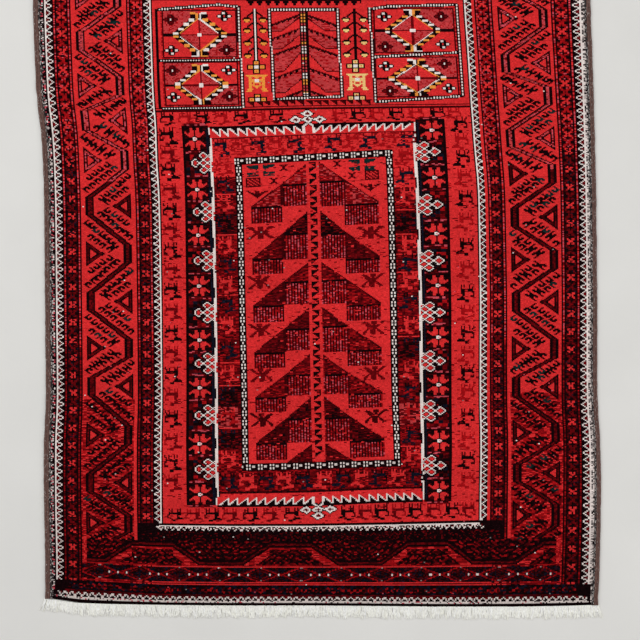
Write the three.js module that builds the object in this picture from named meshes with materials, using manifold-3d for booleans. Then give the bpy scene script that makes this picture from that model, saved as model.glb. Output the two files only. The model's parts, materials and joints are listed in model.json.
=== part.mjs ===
// A hand-knotted wool prayer rug that lies flat on a floor: the knotted carpet, an overcast
// selvedge of three cords down each long side, and a short cotton fringe at each end.
// Millimetres, +Z up, +X across the rug, +Y along it. The underside lies on Z = 0, and the
// origin is the middle of the whole rug's footprint.

import * as THREE from 'three';
import { mergeVertices } from 'three/addons/utils/BufferGeometryUtils.js';
import Module from 'manifold-3d';

const wasm = await Module();
wasm.setup();

// The carpet's ends, and how thick it is
const HALF_LENGTH = 582.5;
const PILE_HEIGHT = 6.5;
const PILE_SHOULDER = 4.6;
const PILE_BEVEL = 1.4;
const PILE_RIPPLE = 0.45;
const SKIRT_LENGTH = 4.2;
const SKIRT_HEIGHT = 2.4;
const CARPET_COLUMNS = 18;
const CARPET_ROWS = 28;

// The selvedge: cords side by side, overcast with goat hair
const SELVEDGE_CORDS = 3;
const CORD_WIDTH = 4.3;
const CORD_CREST = 5.4;
const CORD_VALLEY = 3.4;
const CORD_ARC_STEPS = 5;
const SELVEDGE_WIDTH = SELVEDGE_CORDS * CORD_WIDTH;
const SELVEDGE_STEPS = 48;

// The fringe: a narrow heading with locks of cotton warp ends
const SEAM_GAP = 0.3;
const HEADING_WIDTH = 3.0;
const HEADING_HEIGHT = 2.4;
const HEADING_STEPS = 40;
const FRINGE_LOCKS = 150;
const LOCK_LENGTH = 19;
const LOCK_LENGTH_SPREAD = 3.2;
const LOCK_ROOT_THICKNESS = 2.2;
const LOCK_TIP_THICKNESS = 1.1;
const LOCK_ROOT_SHARE = 0.86;
const LOCK_TIP_SHARE = 0.46;
const LOCK_ROOT_DEPTH = 1.6;
const LOCK_MIDDLE_SHARE = 0.55;
const CORNER_LOCKS = 5;
const CORNER_SPLAY = 9;

// Stations down the rug: how far the outer edge of each side lies from the middle line
const SIDES = [
  { y: -582.5, left: 457.9, right: 459.0 },
  { y: -506.0, left: 457.6, right: 462.0 },
  { y: -407.5, left: 459.5, right: 464.0 },
  { y: -308.5, left: 459.3, right: 462.6 },
  { y: -242.5, left: 456.6, right: 458.6 },
  { y: -77.5, left: 457.9, right: 457.8 },
  { y: 87.5, left: 459.5, right: 456.4 },
  { y: 170.0, left: 462.2, right: 454.6 },
  { y: 211.2, left: 465.6, right: 453.6 },
  { y: 252.5, left: 471.0, right: 452.2 },
  { y: 318.5, left: 474.6, right: 450.2 },
  { y: 417.5, left: 477.8, right: 446.6 },
  { y: 582.5, left: 478.8, right: 443.4 },
];

// Stations across the rug, as shares of its width: how far each end dips or rises
const ENDS = [
  { across: 0.0, lower: 12.5, upper: -2.0 },
  { across: 0.03, lower: 7.0, upper: -0.5 },
  { across: 0.1, lower: 3.6, upper: 0.0 },
  { across: 0.3, lower: 0.9, upper: -0.6 },
  { across: 0.5, lower: 0.6, upper: 0.3 },
  { across: 0.7, lower: -0.9, upper: 0.8 },
  { across: 0.9, lower: -0.6, upper: -0.4 },
  { across: 1.0, lower: 1.8, upper: -2.6 },
];

// A repeatable spread of values from -1 to 1 for a counted piece
function scatter(index, salt) {
  const wave = Math.sin(index * 12.9898 + salt * 78.233) * 43758.5453;
  return 2 * (wave - Math.floor(wave)) - 1;
}

// The value of one named column of a table at a place, by a smooth curve through its rows
function readTable(table, key, column, at) {
  const last = table.length - 2;
  let row = 0;
  while (row < last && table[row + 1][key] < at) {
    row += 1;
  }
  const before = table[Math.max(row - 1, 0)];
  const start = table[row];
  const end = table[row + 1];
  const after = table[Math.min(row + 2, table.length - 1)];
  const span = end[key] - start[key];
  const share = THREE.MathUtils.clamp((at - start[key]) / span, 0, 1);
  const startSlope = ((end[column] - before[column]) / (end[key] - before[key])) * span;
  const endSlope = ((after[column] - start[column]) / (after[key] - start[key])) * span;
  const square = share * share;
  const cube = square * share;
  return (
    (2 * cube - 3 * square + 1) * start[column] +
    (cube - 2 * square + share) * startSlope +
    (3 * square - 2 * cube) * end[column] +
    (cube - square) * endSlope
  );
}

// The outer edge of the left (side -1) or right (side 1) selvedge at a place along the rug
function outerEdge(side, y) {
  return side < 0 ? -readTable(SIDES, 'y', 'left', y) : readTable(SIDES, 'y', 'right', y);
}

// The edge of the knotted carpet, inside the selvedge and the seam
function carpetEdge(side, y) {
  return outerEdge(side, y) - side * (SELVEDGE_WIDTH + SEAM_GAP);
}

// Where the lower (end -1) or upper (end 1) end of the carpet lies at a share of its width
function endLine(end, across) {
  const column = end < 0 ? 'lower' : 'upper';
  return end * HALF_LENGTH + readTable(ENDS, 'across', column, across);
}

// The place in plan of a share across and a share along the carpet, with insets from its rim
function planPoint(across, along, insetAcross, insetAlong) {
  const low = endLine(-1, across) + insetAlong;
  const high = endLine(1, across) + insetAlong;
  const y = THREE.MathUtils.lerp(low, high, along);
  const x = THREE.MathUtils.lerp(carpetEdge(-1, y), carpetEdge(1, y), across);
  return new THREE.Vector2(x + insetAcross, y);
}

// The low swell of the pile where the rug lies uneven
function ripple(x, y) {
  const longWave = Math.sin(x / 96 + Math.sin(y / 170)) * Math.cos(y / 128 - x / 410);
  const crossWave = Math.sin(y / 61 + x / 230);
  return PILE_RIPPLE * (0.65 * longWave + 0.35 * crossWave);
}

// Stations from one rim to the other: rim insets first, then even shares between them
function stations(rimInsets, count) {
  const inner = Array.from({ length: count + 1 }, (_, i) => ({ share: i / count, inset: 0 }));
  const deepest = rimInsets[rimInsets.length - 1];
  inner[0].inset = deepest;
  inner[count].inset = -deepest;
  const first = rimInsets.slice(0, -1).map((inset) => ({ share: 0, inset }));
  const last = rimInsets
    .slice(0, -1)
    .reverse()
    .map((inset) => ({ share: 1, inset: -inset }));
  return [...first, ...inner, ...last];
}

// A closed mesh from a grid of top points that stands on Z = 0
function closedSheet(topPoints, columns, rows) {
  const positions = [];
  topPoints.forEach((p) => positions.push(p.x, p.y, p.z));
  topPoints.forEach((p) => positions.push(p.x, p.y, 0));
  const under = columns * rows;
  const faces = [];
  const at = (column, row) => row * columns + column;
  for (let row = 0; row < rows - 1; row += 1) {
    for (let column = 0; column < columns - 1; column += 1) {
      const a = at(column, row);
      const b = at(column + 1, row);
      const c = at(column + 1, row + 1);
      const d = at(column, row + 1);
      faces.push(a, b, c, a, c, d);
      faces.push(under + a, under + c, under + b, under + a, under + d, under + c);
    }
  }
  const rim = [];
  for (let column = 0; column < columns - 1; column += 1) rim.push(at(column, 0));
  for (let row = 0; row < rows - 1; row += 1) rim.push(at(columns - 1, row));
  for (let column = columns - 1; column > 0; column -= 1) rim.push(at(column, rows - 1));
  for (let row = rows - 1; row > 0; row -= 1) rim.push(at(0, row));
  rim.forEach((a, i) => {
    const b = rim[(i + 1) % rim.length];
    faces.push(a, under + a, b, b, under + a, under + b);
  });
  const geometry = new THREE.BufferGeometry();
  geometry.setAttribute('position', new THREE.Float32BufferAttribute(positions, 3));
  geometry.setIndex(faces);
  return geometry;
}

// The knotted carpet: a low flat-woven skirt at each end and a rounded shoulder of pile
function carpetGeometry() {
  const across = stations([0, PILE_BEVEL], CARPET_COLUMNS);
  const skirtRims = [0, SKIRT_LENGTH, SKIRT_LENGTH + 0.5, SKIRT_LENGTH + PILE_BEVEL];
  const along = stations(skirtRims, CARPET_ROWS);
  const points = [];
  along.forEach((row) => {
    across.forEach((column) => {
      const plan = planPoint(column.share, row.share, column.inset, row.inset);
      const fromEnd = Math.abs(row.inset);
      const atEnd = row.share === 0 || row.share === 1;
      const atSide = column.share === 0 || column.share === 1;
      const onSkirt = atEnd && fromEnd <= SKIRT_LENGTH;
      const onShoulder = (atEnd && fromEnd < skirtRims[3]) || (atSide && column.inset === 0);
      const crown = PILE_HEIGHT + ripple(plan.x, plan.y);
      const pile = onShoulder ? PILE_SHOULDER : crown;
      points.push(new THREE.Vector3(plan.x, plan.y, onSkirt ? SKIRT_HEIGHT : pile));
    });
  });
  return closedSheet(points, across.length, along.length);
}

// The selvedge's section: a flat foot under a row of round cords, from the carpet outwards
function selvedgeSection() {
  const section = [new THREE.Vector2(0, 0)];
  for (let cord = 0; cord < SELVEDGE_CORDS; cord += 1) {
    const first = cord === 0 ? 0 : 1;
    for (let step = first; step <= CORD_ARC_STEPS; step += 1) {
      const turn = (Math.PI * step) / CORD_ARC_STEPS;
      const offset = cord * CORD_WIDTH + (CORD_WIDTH / 2) * (1 - Math.cos(turn));
      const height = CORD_VALLEY + (CORD_CREST - CORD_VALLEY) * Math.sin(turn);
      section.push(new THREE.Vector2(offset, height));
    }
  }
  section.push(new THREE.Vector2(SELVEDGE_WIDTH, 0));
  return section;
}

// One selvedge: its section carried down the side of the carpet
function selvedgeGeometry(side) {
  const section = selvedgeSection();
  const across = side < 0 ? 0 : 1;
  const low = endLine(-1, across);
  const high = endLine(1, across);
  const positions = [];
  for (let step = 0; step <= SELVEDGE_STEPS; step += 1) {
    const y = THREE.MathUtils.lerp(low, high, step / SELVEDGE_STEPS);
    const inner = outerEdge(side, y) - side * SELVEDGE_WIDTH;
    section.forEach((p) => positions.push(inner + side * p.x, y, p.y));
  }
  const around = section.length;
  const faces = [];
  const addFace = (a, b, c) => faces.push(a, ...(side < 0 ? [b, c] : [c, b]));
  for (let step = 0; step < SELVEDGE_STEPS; step += 1) {
    for (let i = 0; i < around; i += 1) {
      const a = step * around + i;
      const b = step * around + ((i + 1) % around);
      addFace(a, a + around, b);
      addFace(b, a + around, b + around);
    }
  }
  const far = SELVEDGE_STEPS * around;
  THREE.ShapeUtils.triangulateShape(section, []).forEach((corners) => {
    const area = THREE.ShapeUtils.area(corners.map((corner) => section[corner]));
    const [a, b, c] = area < 0 ? corners : corners.toReversed();
    addFace(a, b, c);
    addFace(far + a, far + c, far + b);
  });
  const geometry = new THREE.BufferGeometry();
  geometry.setAttribute('position', new THREE.Float32BufferAttribute(positions, 3));
  geometry.setIndex(faces);
  return geometry;
}

// A closed solid for joining, from a geometry
function toSolid(geometry) {
  const bare = new THREE.BufferGeometry();
  bare.setAttribute('position', geometry.getAttribute('position'));
  bare.setIndex(geometry.getIndex());
  const merged = mergeVertices(bare, 1e-4);
  return new wasm.Manifold(
    new wasm.Mesh({
      numProp: 3,
      vertProperties: new Float32Array(merged.getAttribute('position').array),
      triVerts: new Uint32Array(merged.getIndex().array),
    }),
  );
}

// A geometry from a joined solid
function fromSolid(solid) {
  const mesh = solid.getMesh();
  const geometry = new THREE.BufferGeometry();
  geometry.setAttribute('position', new THREE.Float32BufferAttribute(mesh.vertProperties, 3));
  geometry.setIndex(Array.from(mesh.triVerts));
  return geometry;
}

// The end of the whole rug at a share of its full width, selvedges included
function headingPoint(end, across) {
  const side = across < 0.5 ? -1 : 1;
  const y = endLine(end, across) + end * SEAM_GAP;
  const left = outerEdge(-1, end * HALF_LENGTH);
  const right = outerEdge(1, end * HALF_LENGTH);
  const tuck = side * 0.5;
  const x = THREE.MathUtils.lerp(left, right, across) - (across === 0 || across === 1 ? tuck : 0);
  return new THREE.Vector2(x, y);
}

// The heading that holds the locks: a narrow strip along the end of the rug
function headingGeometry(end) {
  const points = [];
  for (const reach of end < 0 ? [-HEADING_WIDTH, 0] : [0, HEADING_WIDTH]) {
    for (let step = 0; step <= HEADING_STEPS; step += 1) {
      const plan = headingPoint(end, step / HEADING_STEPS);
      points.push(new THREE.Vector3(plan.x, plan.y + reach, HEADING_HEIGHT));
    }
  }
  return closedSheet(points, HEADING_STEPS + 1, 2);
}

// One lock: a flat four-sided tuft that leans a little, narrows to its tip and rests level
function lockGeometry(end, index) {
  const share = (index + 0.5) / FRINGE_LOCKS;
  const root = headingPoint(end, share);
  const pitch = (outerEdge(1, end * HALF_LENGTH) - outerEdge(-1, end * HALF_LENGTH)) / FRINGE_LOCKS;
  const fromCorner = Math.min(index, FRINGE_LOCKS - 1 - index);
  const splaySide = index < FRINGE_LOCKS / 2 ? -1 : 1;
  const splay = splaySide * CORNER_SPLAY * Math.max(0, 1 - fromCorner / CORNER_LOCKS) ** 2;
  const lean = 0.1 * pitch * scatter(Math.floor(index / 3), 1 + end) + splay;
  const length = LOCK_LENGTH + LOCK_LENGTH_SPREAD * scatter(index, 3 + end);
  const start = root.y + end * (HEADING_WIDTH - LOCK_ROOT_DEPTH);
  const sections = [
    { along: 0, width: LOCK_ROOT_SHARE, thick: LOCK_ROOT_THICKNESS },
    { along: LOCK_MIDDLE_SHARE, width: LOCK_ROOT_SHARE * 0.96, thick: LOCK_ROOT_THICKNESS },
    { along: 1, width: LOCK_TIP_SHARE, thick: LOCK_TIP_THICKNESS },
  ];
  const positions = [];
  sections.forEach(({ along, width, thick }) => {
    const x = root.x + lean * along ** 1.5;
    const y = start + end * (length + LOCK_ROOT_DEPTH) * along;
    const half = (width * pitch) / 2;
    positions.push(x - half, y, 0, x + half, y, 0, x + half * 0.7, y, thick, x - half * 0.7, y, thick);
  });
  const faces = [];
  const addFace = (a, b, c) => faces.push(a, ...(end > 0 ? [b, c] : [c, b]));
  for (let ring = 0; ring < sections.length - 1; ring += 1) {
    for (let corner = 0; corner < 4; corner += 1) {
      const a = ring * 4 + corner;
      const b = ring * 4 + ((corner + 1) % 4);
      addFace(a, a + 4, b);
      addFace(b, a + 4, b + 4);
    }
  }
  const tip = (sections.length - 1) * 4;
  addFace(0, 1, 2);
  addFace(0, 2, 3);
  addFace(tip, tip + 2, tip + 1);
  addFace(tip, tip + 3, tip + 2);
  const geometry = new THREE.BufferGeometry();
  geometry.setAttribute('position', new THREE.Float32BufferAttribute(positions, 3));
  geometry.setIndex(faces);
  return geometry;
}

// The fringe of one end, its locks joined to the heading at their roots
function fringeGeometry(end) {
  let fringe = toSolid(headingGeometry(end));
  for (let index = 0; index < FRINGE_LOCKS; index += 1) {
    fringe = fringe.add(toSolid(lockGeometry(end, index)));
  }
  return fromSolid(fringe);
}

// A named piece in its own material
function piece(name, geometry, color, roughness) {
  const material = new THREE.MeshStandardMaterial({ color, roughness, metalness: 0 });
  const mesh = new THREE.Mesh(geometry, material);
  mesh.name = name;
  return mesh;
}

const PILE_RED = 0xa5161c;
const GOAT_HAIR_BROWN = 0x3f2a26;
const WARP_WHITE = 0xe9e5da;

const rug = new THREE.Group();
rug.add(piece('carpet', carpetGeometry(), PILE_RED, 0.95));
rug.add(piece('selvedge_left', selvedgeGeometry(-1), GOAT_HAIR_BROWN, 0.8));
rug.add(piece('selvedge_right', selvedgeGeometry(1), GOAT_HAIR_BROWN, 0.8));
rug.add(piece('fringe_lower', fringeGeometry(-1), WARP_WHITE, 0.9));
rug.add(piece('fringe_upper', fringeGeometry(1), WARP_WHITE, 0.9));

// The footprint's middle goes to the origin
const footprint = new THREE.Box3().setFromObject(rug);
const middle = footprint.getCenter(new THREE.Vector3());
rug.position.set(-middle.x, -middle.y, 0);

export default rug;
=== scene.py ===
"""A hand-knotted wool prayer rug that lies flat on a pale floor.

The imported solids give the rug's outline and size. Five woven sections of knotted pile lie on a
woven foundation, two overcast selvedges run down the long sides, and loose cotton warp ends
lie at both ends. Sizes are in metres. Places in the pattern are counted in knots: column 0 is
the first knot of the left white line, and row 0 the first row at the lower end.
"""

from __future__ import annotations

import json
import logging
from dataclasses import dataclass, field
from enum import Enum, IntEnum

import bpy
import numpy as np
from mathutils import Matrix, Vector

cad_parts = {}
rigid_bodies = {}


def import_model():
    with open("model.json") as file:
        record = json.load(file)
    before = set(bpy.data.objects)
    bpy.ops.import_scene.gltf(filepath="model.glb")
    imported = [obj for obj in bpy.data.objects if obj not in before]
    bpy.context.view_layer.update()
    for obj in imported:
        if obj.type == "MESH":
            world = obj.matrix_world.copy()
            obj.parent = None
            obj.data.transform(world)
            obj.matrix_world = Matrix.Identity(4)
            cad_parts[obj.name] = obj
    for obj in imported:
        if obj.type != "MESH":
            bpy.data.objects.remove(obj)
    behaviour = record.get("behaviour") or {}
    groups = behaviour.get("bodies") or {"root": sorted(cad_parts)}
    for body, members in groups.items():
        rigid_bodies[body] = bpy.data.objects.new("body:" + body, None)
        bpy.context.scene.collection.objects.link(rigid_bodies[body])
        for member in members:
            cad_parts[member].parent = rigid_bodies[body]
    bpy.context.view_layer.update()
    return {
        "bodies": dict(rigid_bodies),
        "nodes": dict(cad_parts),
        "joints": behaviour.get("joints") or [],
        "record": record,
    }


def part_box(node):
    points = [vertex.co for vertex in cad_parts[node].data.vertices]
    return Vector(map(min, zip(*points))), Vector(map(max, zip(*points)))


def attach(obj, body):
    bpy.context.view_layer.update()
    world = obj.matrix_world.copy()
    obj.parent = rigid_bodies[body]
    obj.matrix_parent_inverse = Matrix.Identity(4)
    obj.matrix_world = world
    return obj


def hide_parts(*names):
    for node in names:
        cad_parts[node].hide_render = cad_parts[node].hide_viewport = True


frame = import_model()

LOG = logging.getLogger("rug")
SEED = 7

# The knot grid
COLUMNS = 373
ROWS = 672
EDGING = 2

# A column on the left plus its mirror on the right
OUTER_TURN = 369
INNER_TURN = 370
WHITE_TURN = 368


class Dye(IntEnum):
    """The dyed yarns, each known by its place in the dye lots."""

    BLACK = 0
    NAVY = 1
    EARTH = 2
    MAROON = 3
    CRIMSON = 4
    RED = 5
    ROSE = 6
    RUST = 7
    IVORY = 8
    ORANGE = 9
    GREEN = 10
    STRAW = 11
    GREY = 12


(BLACK, NAVY, EARTH, MAROON, CRIMSON, RED, ROSE, RUST, IVORY, ORANGE, GREEN, STRAW,
 GREY) = Dye


@dataclass(frozen=True)
class DyeLot:
    """One dyed yarn: its colour in sRGB from 0 to 1, how uneven it is, and how low it wears."""

    colour: tuple[float, float, float]
    spread: float
    worn: float = 0.0


DYE_LOTS = {
    BLACK: DyeLot((0.075, 0.015, 0.025), 0.34, 0.0006),
    NAVY: DyeLot((0.060, 0.070, 0.120), 0.30, 0.0006),
    EARTH: DyeLot((0.240, 0.012, 0.028), 0.28, 0.0004),
    MAROON: DyeLot((0.400, 0.025, 0.048), 0.24, 0.0002),
    CRIMSON: DyeLot((0.630, 0.060, 0.080), 0.18),
    RED: DyeLot((0.870, 0.180, 0.185), 0.13),
    ROSE: DyeLot((0.790, 0.290, 0.340), 0.15),
    RUST: DyeLot((0.760, 0.235, 0.245), 0.12),
    IVORY: DyeLot((0.950, 0.890, 0.865), 0.06),
    ORANGE: DyeLot((0.960, 0.600, 0.250), 0.08),
    GREEN: DyeLot((0.060, 0.150, 0.150), 0.26, 0.0005),
    STRAW: DyeLot((0.970, 0.790, 0.500), 0.07),
    GREY: DyeLot((0.560, 0.520, 0.510), 0.22),
}


def linear(colour: tuple[float, ...] | np.ndarray) -> np.ndarray:
    """Turn sRGB into linear light.

    Args:
        colour: Channels from 0 to 1.

    Returns:
        The same channels in linear light.
    """
    value = np.asarray(colour, float)
    return np.where(value <= 0.04045, value / 12.92, ((value + 0.055) / 1.055) ** 2.4)


@dataclass(frozen=True)
class Motif:
    """A small chart, its top row first, with one letter for each knot."""

    rows: tuple[str, ...]

    def letters(self) -> np.ndarray:
        """The letters as an array, the lowest row first."""
        return np.array([list(row) for row in self.rows[::-1]])

    def mirrored(self) -> Motif:
        """The motif turned left for right."""
        return Motif(tuple(row[::-1] for row in self.rows))

    def flipped(self) -> Motif:
        """The motif turned upside down."""
        return Motif(self.rows[::-1])

    def doubled(self) -> Motif:
        """The motif as the upper half of a figure that is the same both ways up."""
        return Motif(self.rows + self.rows[-2::-1])


GUARD_FLOWER = Motif((
    "m.kkk.m",
    ".xxkxx.",
    ".xx.xx.",
    "kkxxxkk",
    "kkxxxkk",
    ".xx.xx.",
    ".xxkxx.",
    "m.kkk.m",
    "m.kkk.m",
    ".ookoo.",
    ".oo.oo.",
    "kkoookk",
    "kkoookk",
    ".oo.oo.",
    ".ookoo.",
    "m.kkk.m",
))

HOOK = Motif((
    "..kkk.",
    ".kkkkk",
    "kkk.kk",
    ".kk...",
    "..mk..",
    "...mk.",
))

BEAST = Motif((
    ".m..m...m.m...",
    ".m..m...m.m...",
    ".mm.m...m.m...",
    "..m.m...mmm...",
    "..kkkkkkkkk...",
    "..kkkkkkkkk...",
    ".mkkkkkkkkk...",
    ".mm.....kkk...",
    ".m......kkk...",
    ".m......kk....",
    ".mmm....kk....",
    ".mmm.....kk...",
    "........kkkkk.",
    "........kkkkkk",
    ".....mkkkkkkkk",
    ".....kkk......",
    ".....mkk......",
))

SHORT_BEAST = Motif((
    "..m.m...m.m..",
    "..m.m...m.m..",
    "..mmm...m.m..",
    "..m.m...mmm..",
    "..kkkkkkkkk..",
    "..kkkkkkkkk..",
    ".mk.....kkk..",
    ".m......kkk..",
    ".m......kk...",
    ".mmm....kkkk.",
    ".......kkkkkk",
    "....mkkkk....",
    "....kkk......",
))

STAR = Motif((
    "....xx...xx....",
    "....xx...xx....",
    "....xxx.xxx....",
    "x...xxx.xxx...x",
    "xx.xxxx.xxxx.xx",
    ".xxxxxx.xxxxxx.",
    "..xxxxx.xxxxx..",
    "...xxxkkkxxx...",
    "..kkkkwwrkkkk..",
    "..kkkkwrwkkkk..",
)).doubled()

BUG = Motif((
    "###...####....#.",
    ".###..####..####",
    "..###.####.####.",
    "...###.##.####..",
    "....##########..",
    ".....########...",
    "......######....",
    ".....########...",
    "....##.####.##..",
    "...###.####..##.",
    "..###..####..###",
    ".###...####...##",
    ".###...###....##",
))

WIDE_BUG = Motif((
    ".####...####...####..",
    "######..####..######.",
    "..####..####..####...",
    "....###.####.###.....",
    ".....##########......",
    ".....###########.....",
    "......#########......",
    ".....###########.....",
    "....###.####.###.....",
    "..####..####..####...",
    ".####...####...####..",
    "####....####....####.",
))

BLOSSOM = Motif((
    "....kkk....",
    "...kwwkk...",
    "...kwwkk...",
    ".kkkkkkkkk.",
    "kwwkkrkkwwk",
    "kwwkkrkkwwk",
    ".kkkkkkkkk.",
    "...kkwwk...",
    "...kkwwk...",
    "....kkk....",
))

BEADS_ACROSS = Motif((
    "........",
    ".w.w....",
    ".w.w.ww.",
    ".....ww.",
    ".w.w....",
    ".w.w....",
    "........",
))

BEADS_DOWN = Motif((
    ".....",
    "..w..",
    "..w..",
    ".....",
    ".w.w.",
    ".w.w.",
    ".....",
    ".w.w.",
    ".w.w.",
))

WING_BLOCK = Motif((
    "kkkkkkkk.",
    "kkkkkkkk.",
    ".kkkkkkk.",
    "....kkkk.",
    "......k..",
    ".........",
    "......kk.",
    "kkkkkkkk.",
    "kkkk.kkk.",
    ".kkkkkkk.",
    "kkkkkkkk.",
))

HATCHED_SQUARE = Motif((
    "kkkkkkkkkk",
    "k.mm.mm.mk",
    "km.mm.mm.k",
    "kmm.mm.mmk",
    "k.mm.mm.mk",
    "km.mm.mm.k",
    "kmm.mm.mmk",
    "k.mm.mm.mk",
    "kkkkkkkkkk",
))

SMALL_CROSS = Motif((
    "kk..kk",
    ".kkkk.",
    "..kk..",
    "..kk..",
    ".kkkk.",
    "kk..kk",
))

ANCHOR = Motif((
    "kk.............",
    ".kk...kkk...kkk",
    "..kkk.kkk.kkkk.",
    "...kkkkkkkkk...",
    "....kkkkkkk....",
    ".....kkkkk.....",
    "......kkk......",
    ".......k.......",
))

COMB_FIGURE = Motif((
    "ooooooooooooooo",
    ".ooooooooooooo.",
    "..oo..ooo..oo..",
    "..oo...o...oo..",
    "..oooowwwoooo..",
    "..oooowwwoooo..",
    "..oooowwwoooo..",
    "..oo.ooooo.oo..",
    "..oo.o...o.oo..",
    "..oooo...oooo..",
    "..oo.ooooo.oo..",
    "..oo..ooo..oo..",
    "..oo...o...oo..",
    ".oooo.....oooo.",
    ".ooo.......ooo.",
    "oooo.......oooo",
))

POLE_FLOWER = Motif((
    "....kkkkk....",
    "....koook....",
    "....korok....",
    "....koook....",
    "kkkkkkkkkkkkk",
    "koookwwwkoook",
    "korokwwwkorok",
    "koookwwwkoook",
    "kkkkkkkkkkkkk",
    "....koook....",
    "....korok....",
    "....koook....",
    "....kkkkk....",
))

BUD = Motif((
    ".kkkk.",
    "kkkkkk",
    "kooook",
    ".oooo.",
    ".kook.",
))

TRUNK_TOOTH = Motif((
    "kkkkk",
    "kkkk.",
    "kkk..",
    "kk...",
    "k....",
))


class KnotChart:
    """The whole pattern, one dye for each knot, laid down part by part."""

    def __init__(self) -> None:
        """Start with a plain red ground."""
        self.dyes = np.full((ROWS, COLUMNS), int(RED), np.int8)
        self.column = np.arange(COLUMNS)[None, :] - EDGING
        self.row = np.arange(ROWS)[:, None]
        self.x = self.column + 0.5
        self.y = self.row + 0.5
        self.chance = np.random.default_rng(SEED)

    def area(self, left: float, right: float, low: float, high: float) -> np.ndarray:
        """Mark the knots of a rectangle.

        Args:
            left: First column.
            right: Column past the last one.
            low: First row.
            high: Row past the last one.

        Returns:
            A mask over the whole chart.
        """
        across = (self.x > left) & (self.x < right)
        along = (self.y > low) & (self.y < high)
        return across & along

    def lay(self, where: np.ndarray, dye: Dye) -> None:
        """Knot one dye wherever a mask is set.

        Args:
            where: Mask that broadcasts to the chart.
            dye: The yarn to use.
        """
        self.dyes[np.broadcast_to(where, self.dyes.shape)] = int(dye)

    def block(self, left: float, right: float, low: float, high: float, dye: Dye) -> None:
        """Knot a rectangle in one dye.

        Args:
            left: First column.
            right: Column past the last one.
            low: First row.
            high: Row past the last one.
            dye: The yarn to use.
        """
        self.lay(self.area(left, right, low, high), dye)

    def heather(self, where: np.ndarray, *mix: Dye, run: tuple[int, int] = (1, 1),
                share: float = 1.0) -> None:
        """Knot an area in a chance mix of yarns.

        Args:
            where: Mask that broadcasts to the chart.
            mix: The yarns, each as likely as the others.
            run: Rows and columns in each patch of one yarn.
            share: Share of the patches that are laid; the others stay as they are.
        """
        tall, wide = run
        shape = (ROWS // tall + 1, COLUMNS // wide + 1)
        patches = self.chance.integers(0, len(mix), shape)
        laid = self.chance.random(shape) < share
        patches, laid = (np.repeat(np.repeat(part, tall, 0), wide, 1)[:ROWS, :COLUMNS]
                         for part in (patches, laid))
        picked = np.array([int(dye) for dye in mix], np.int8)[patches]
        where = np.broadcast_to(where, self.dyes.shape) & laid
        self.dyes[where] = picked[where]

    def stamp(self, motif: Motif, left: float, low: float, dyes: dict[str, Dye]) -> None:
        """Knot one motif.

        Args:
            motif: Its chart.
            left: Its first column.
            low: Its lowest row.
            dyes: The yarn for each letter; other letters are left as they are.
        """
        letters = motif.letters()
        x, y = int(round(left)) + EDGING, int(round(low))
        y0, y1 = max(y, 0), min(y + letters.shape[0], ROWS)
        x0, x1 = max(x, 0), min(x + letters.shape[1], COLUMNS)
        if y0 >= y1 or x0 >= x1:
            return
        part = letters[y0 - y : y1 - y, x0 - x : x1 - x]
        target = self.dyes[y0:y1, x0:x1]
        for letter, dye in dyes.items():
            target[part == letter] = int(dye)

    def tile(self, motif: Motif, where: np.ndarray, left: float, low: float,
             dyes: dict[str, Dye], pitch: float = 0.0) -> None:
        """Repeat a motif over an area.

        Args:
            motif: The repeat.
            where: Mask of the area.
            left: Column where a repeat starts.
            low: Row where a repeat starts.
            dyes: The yarn for each letter.
            pitch: Rows for one repeat, where it isn't the motif's own height.
        """
        letters = motif.letters()
        height, width = letters.shape
        across = np.floor(self.x - left).astype(int) % width
        share = height / (pitch or height)
        along = np.floor((self.y - low) * share).astype(int) % height
        drawn = letters[np.broadcast_to(along, self.dyes.shape), across]
        for letter, dye in dyes.items():
            self.lay(where & (drawn == letter), dye)

    def stroke(self, half: float, dye: Dye, *corners: tuple[float, float]) -> None:
        """Knot a line through corners, wherever the distance from it is under half its width.

        Args:
            half: Half the width, in knots.
            dye: The yarn to use.
            corners: Places on the line, each a column and a row.
        """
        for (x0, y0), (x1, y1) in zip(corners, corners[1:]):
            length = max((x1 - x0) ** 2 + (y1 - y0) ** 2, 1e-6)
            along = ((self.x - x0) * (x1 - x0) + (self.y - y0) * (y1 - y0)) / length
            along = np.clip(along, 0, 1)
            off = np.hypot(self.x - x0 - along * (x1 - x0), self.y - y0 - along * (y1 - y0))
            self.lay(off < half, dye)

    def diamond(self, x: float, y: float, half_x: float, half_y: float) -> None:
        """Knot one small white diamond with a black rim and a dark red middle.

        Args:
            x: Middle column.
            y: Middle row.
            half_x: Half its width.
            half_y: Half its height.
        """
        reach = np.abs(self.x - x) / half_x + np.abs(self.y - y) / half_y
        self.lay(reach < 1.45, BLACK)
        self.lay(reach < 1.12, IVORY)
        self.lay(reach < 0.52, MAROON)

    def zigzag(self, away: np.ndarray, travel: np.ndarray, where: np.ndarray,
               reach: float, period: float, weight: float) -> None:
        """Knot a white zigzag on black that touches a white line, with dull dots inside.

        The line's distance from the white line is a triangle wave along its travel.

        Args:
            away: Distance from the white line, in knots.
            travel: Distance along the white line.
            where: Mask of the strip.
            reach: Height of the zigzag.
            period: Knots in one wave.
            weight: Half the white yarn's width.
        """
        wave = reach * np.abs(2 * ((travel / period) % 1) - 1)
        self.lay(where, BLACK)
        self.lay(where & (wave > 0.66 * reach) & (away > 0.4) & (away < 1.7), MAROON)
        self.lay(where & (np.abs(away - 0.92 * wave) < weight), IVORY)


LOWER_GUARD = {".": EARTH, "x": RED, "o": MAROON, "m": MAROON, "k": BLACK}
UPPER_GUARD = {".": MAROON, "x": RED, "o": CRIMSON, "m": RED, "k": BLACK}


@dataclass(frozen=True)
class Stripe:
    """One plain stripe: its first column, how many columns, and its yarn."""

    column: int
    width: int
    dye: Dye


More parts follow.
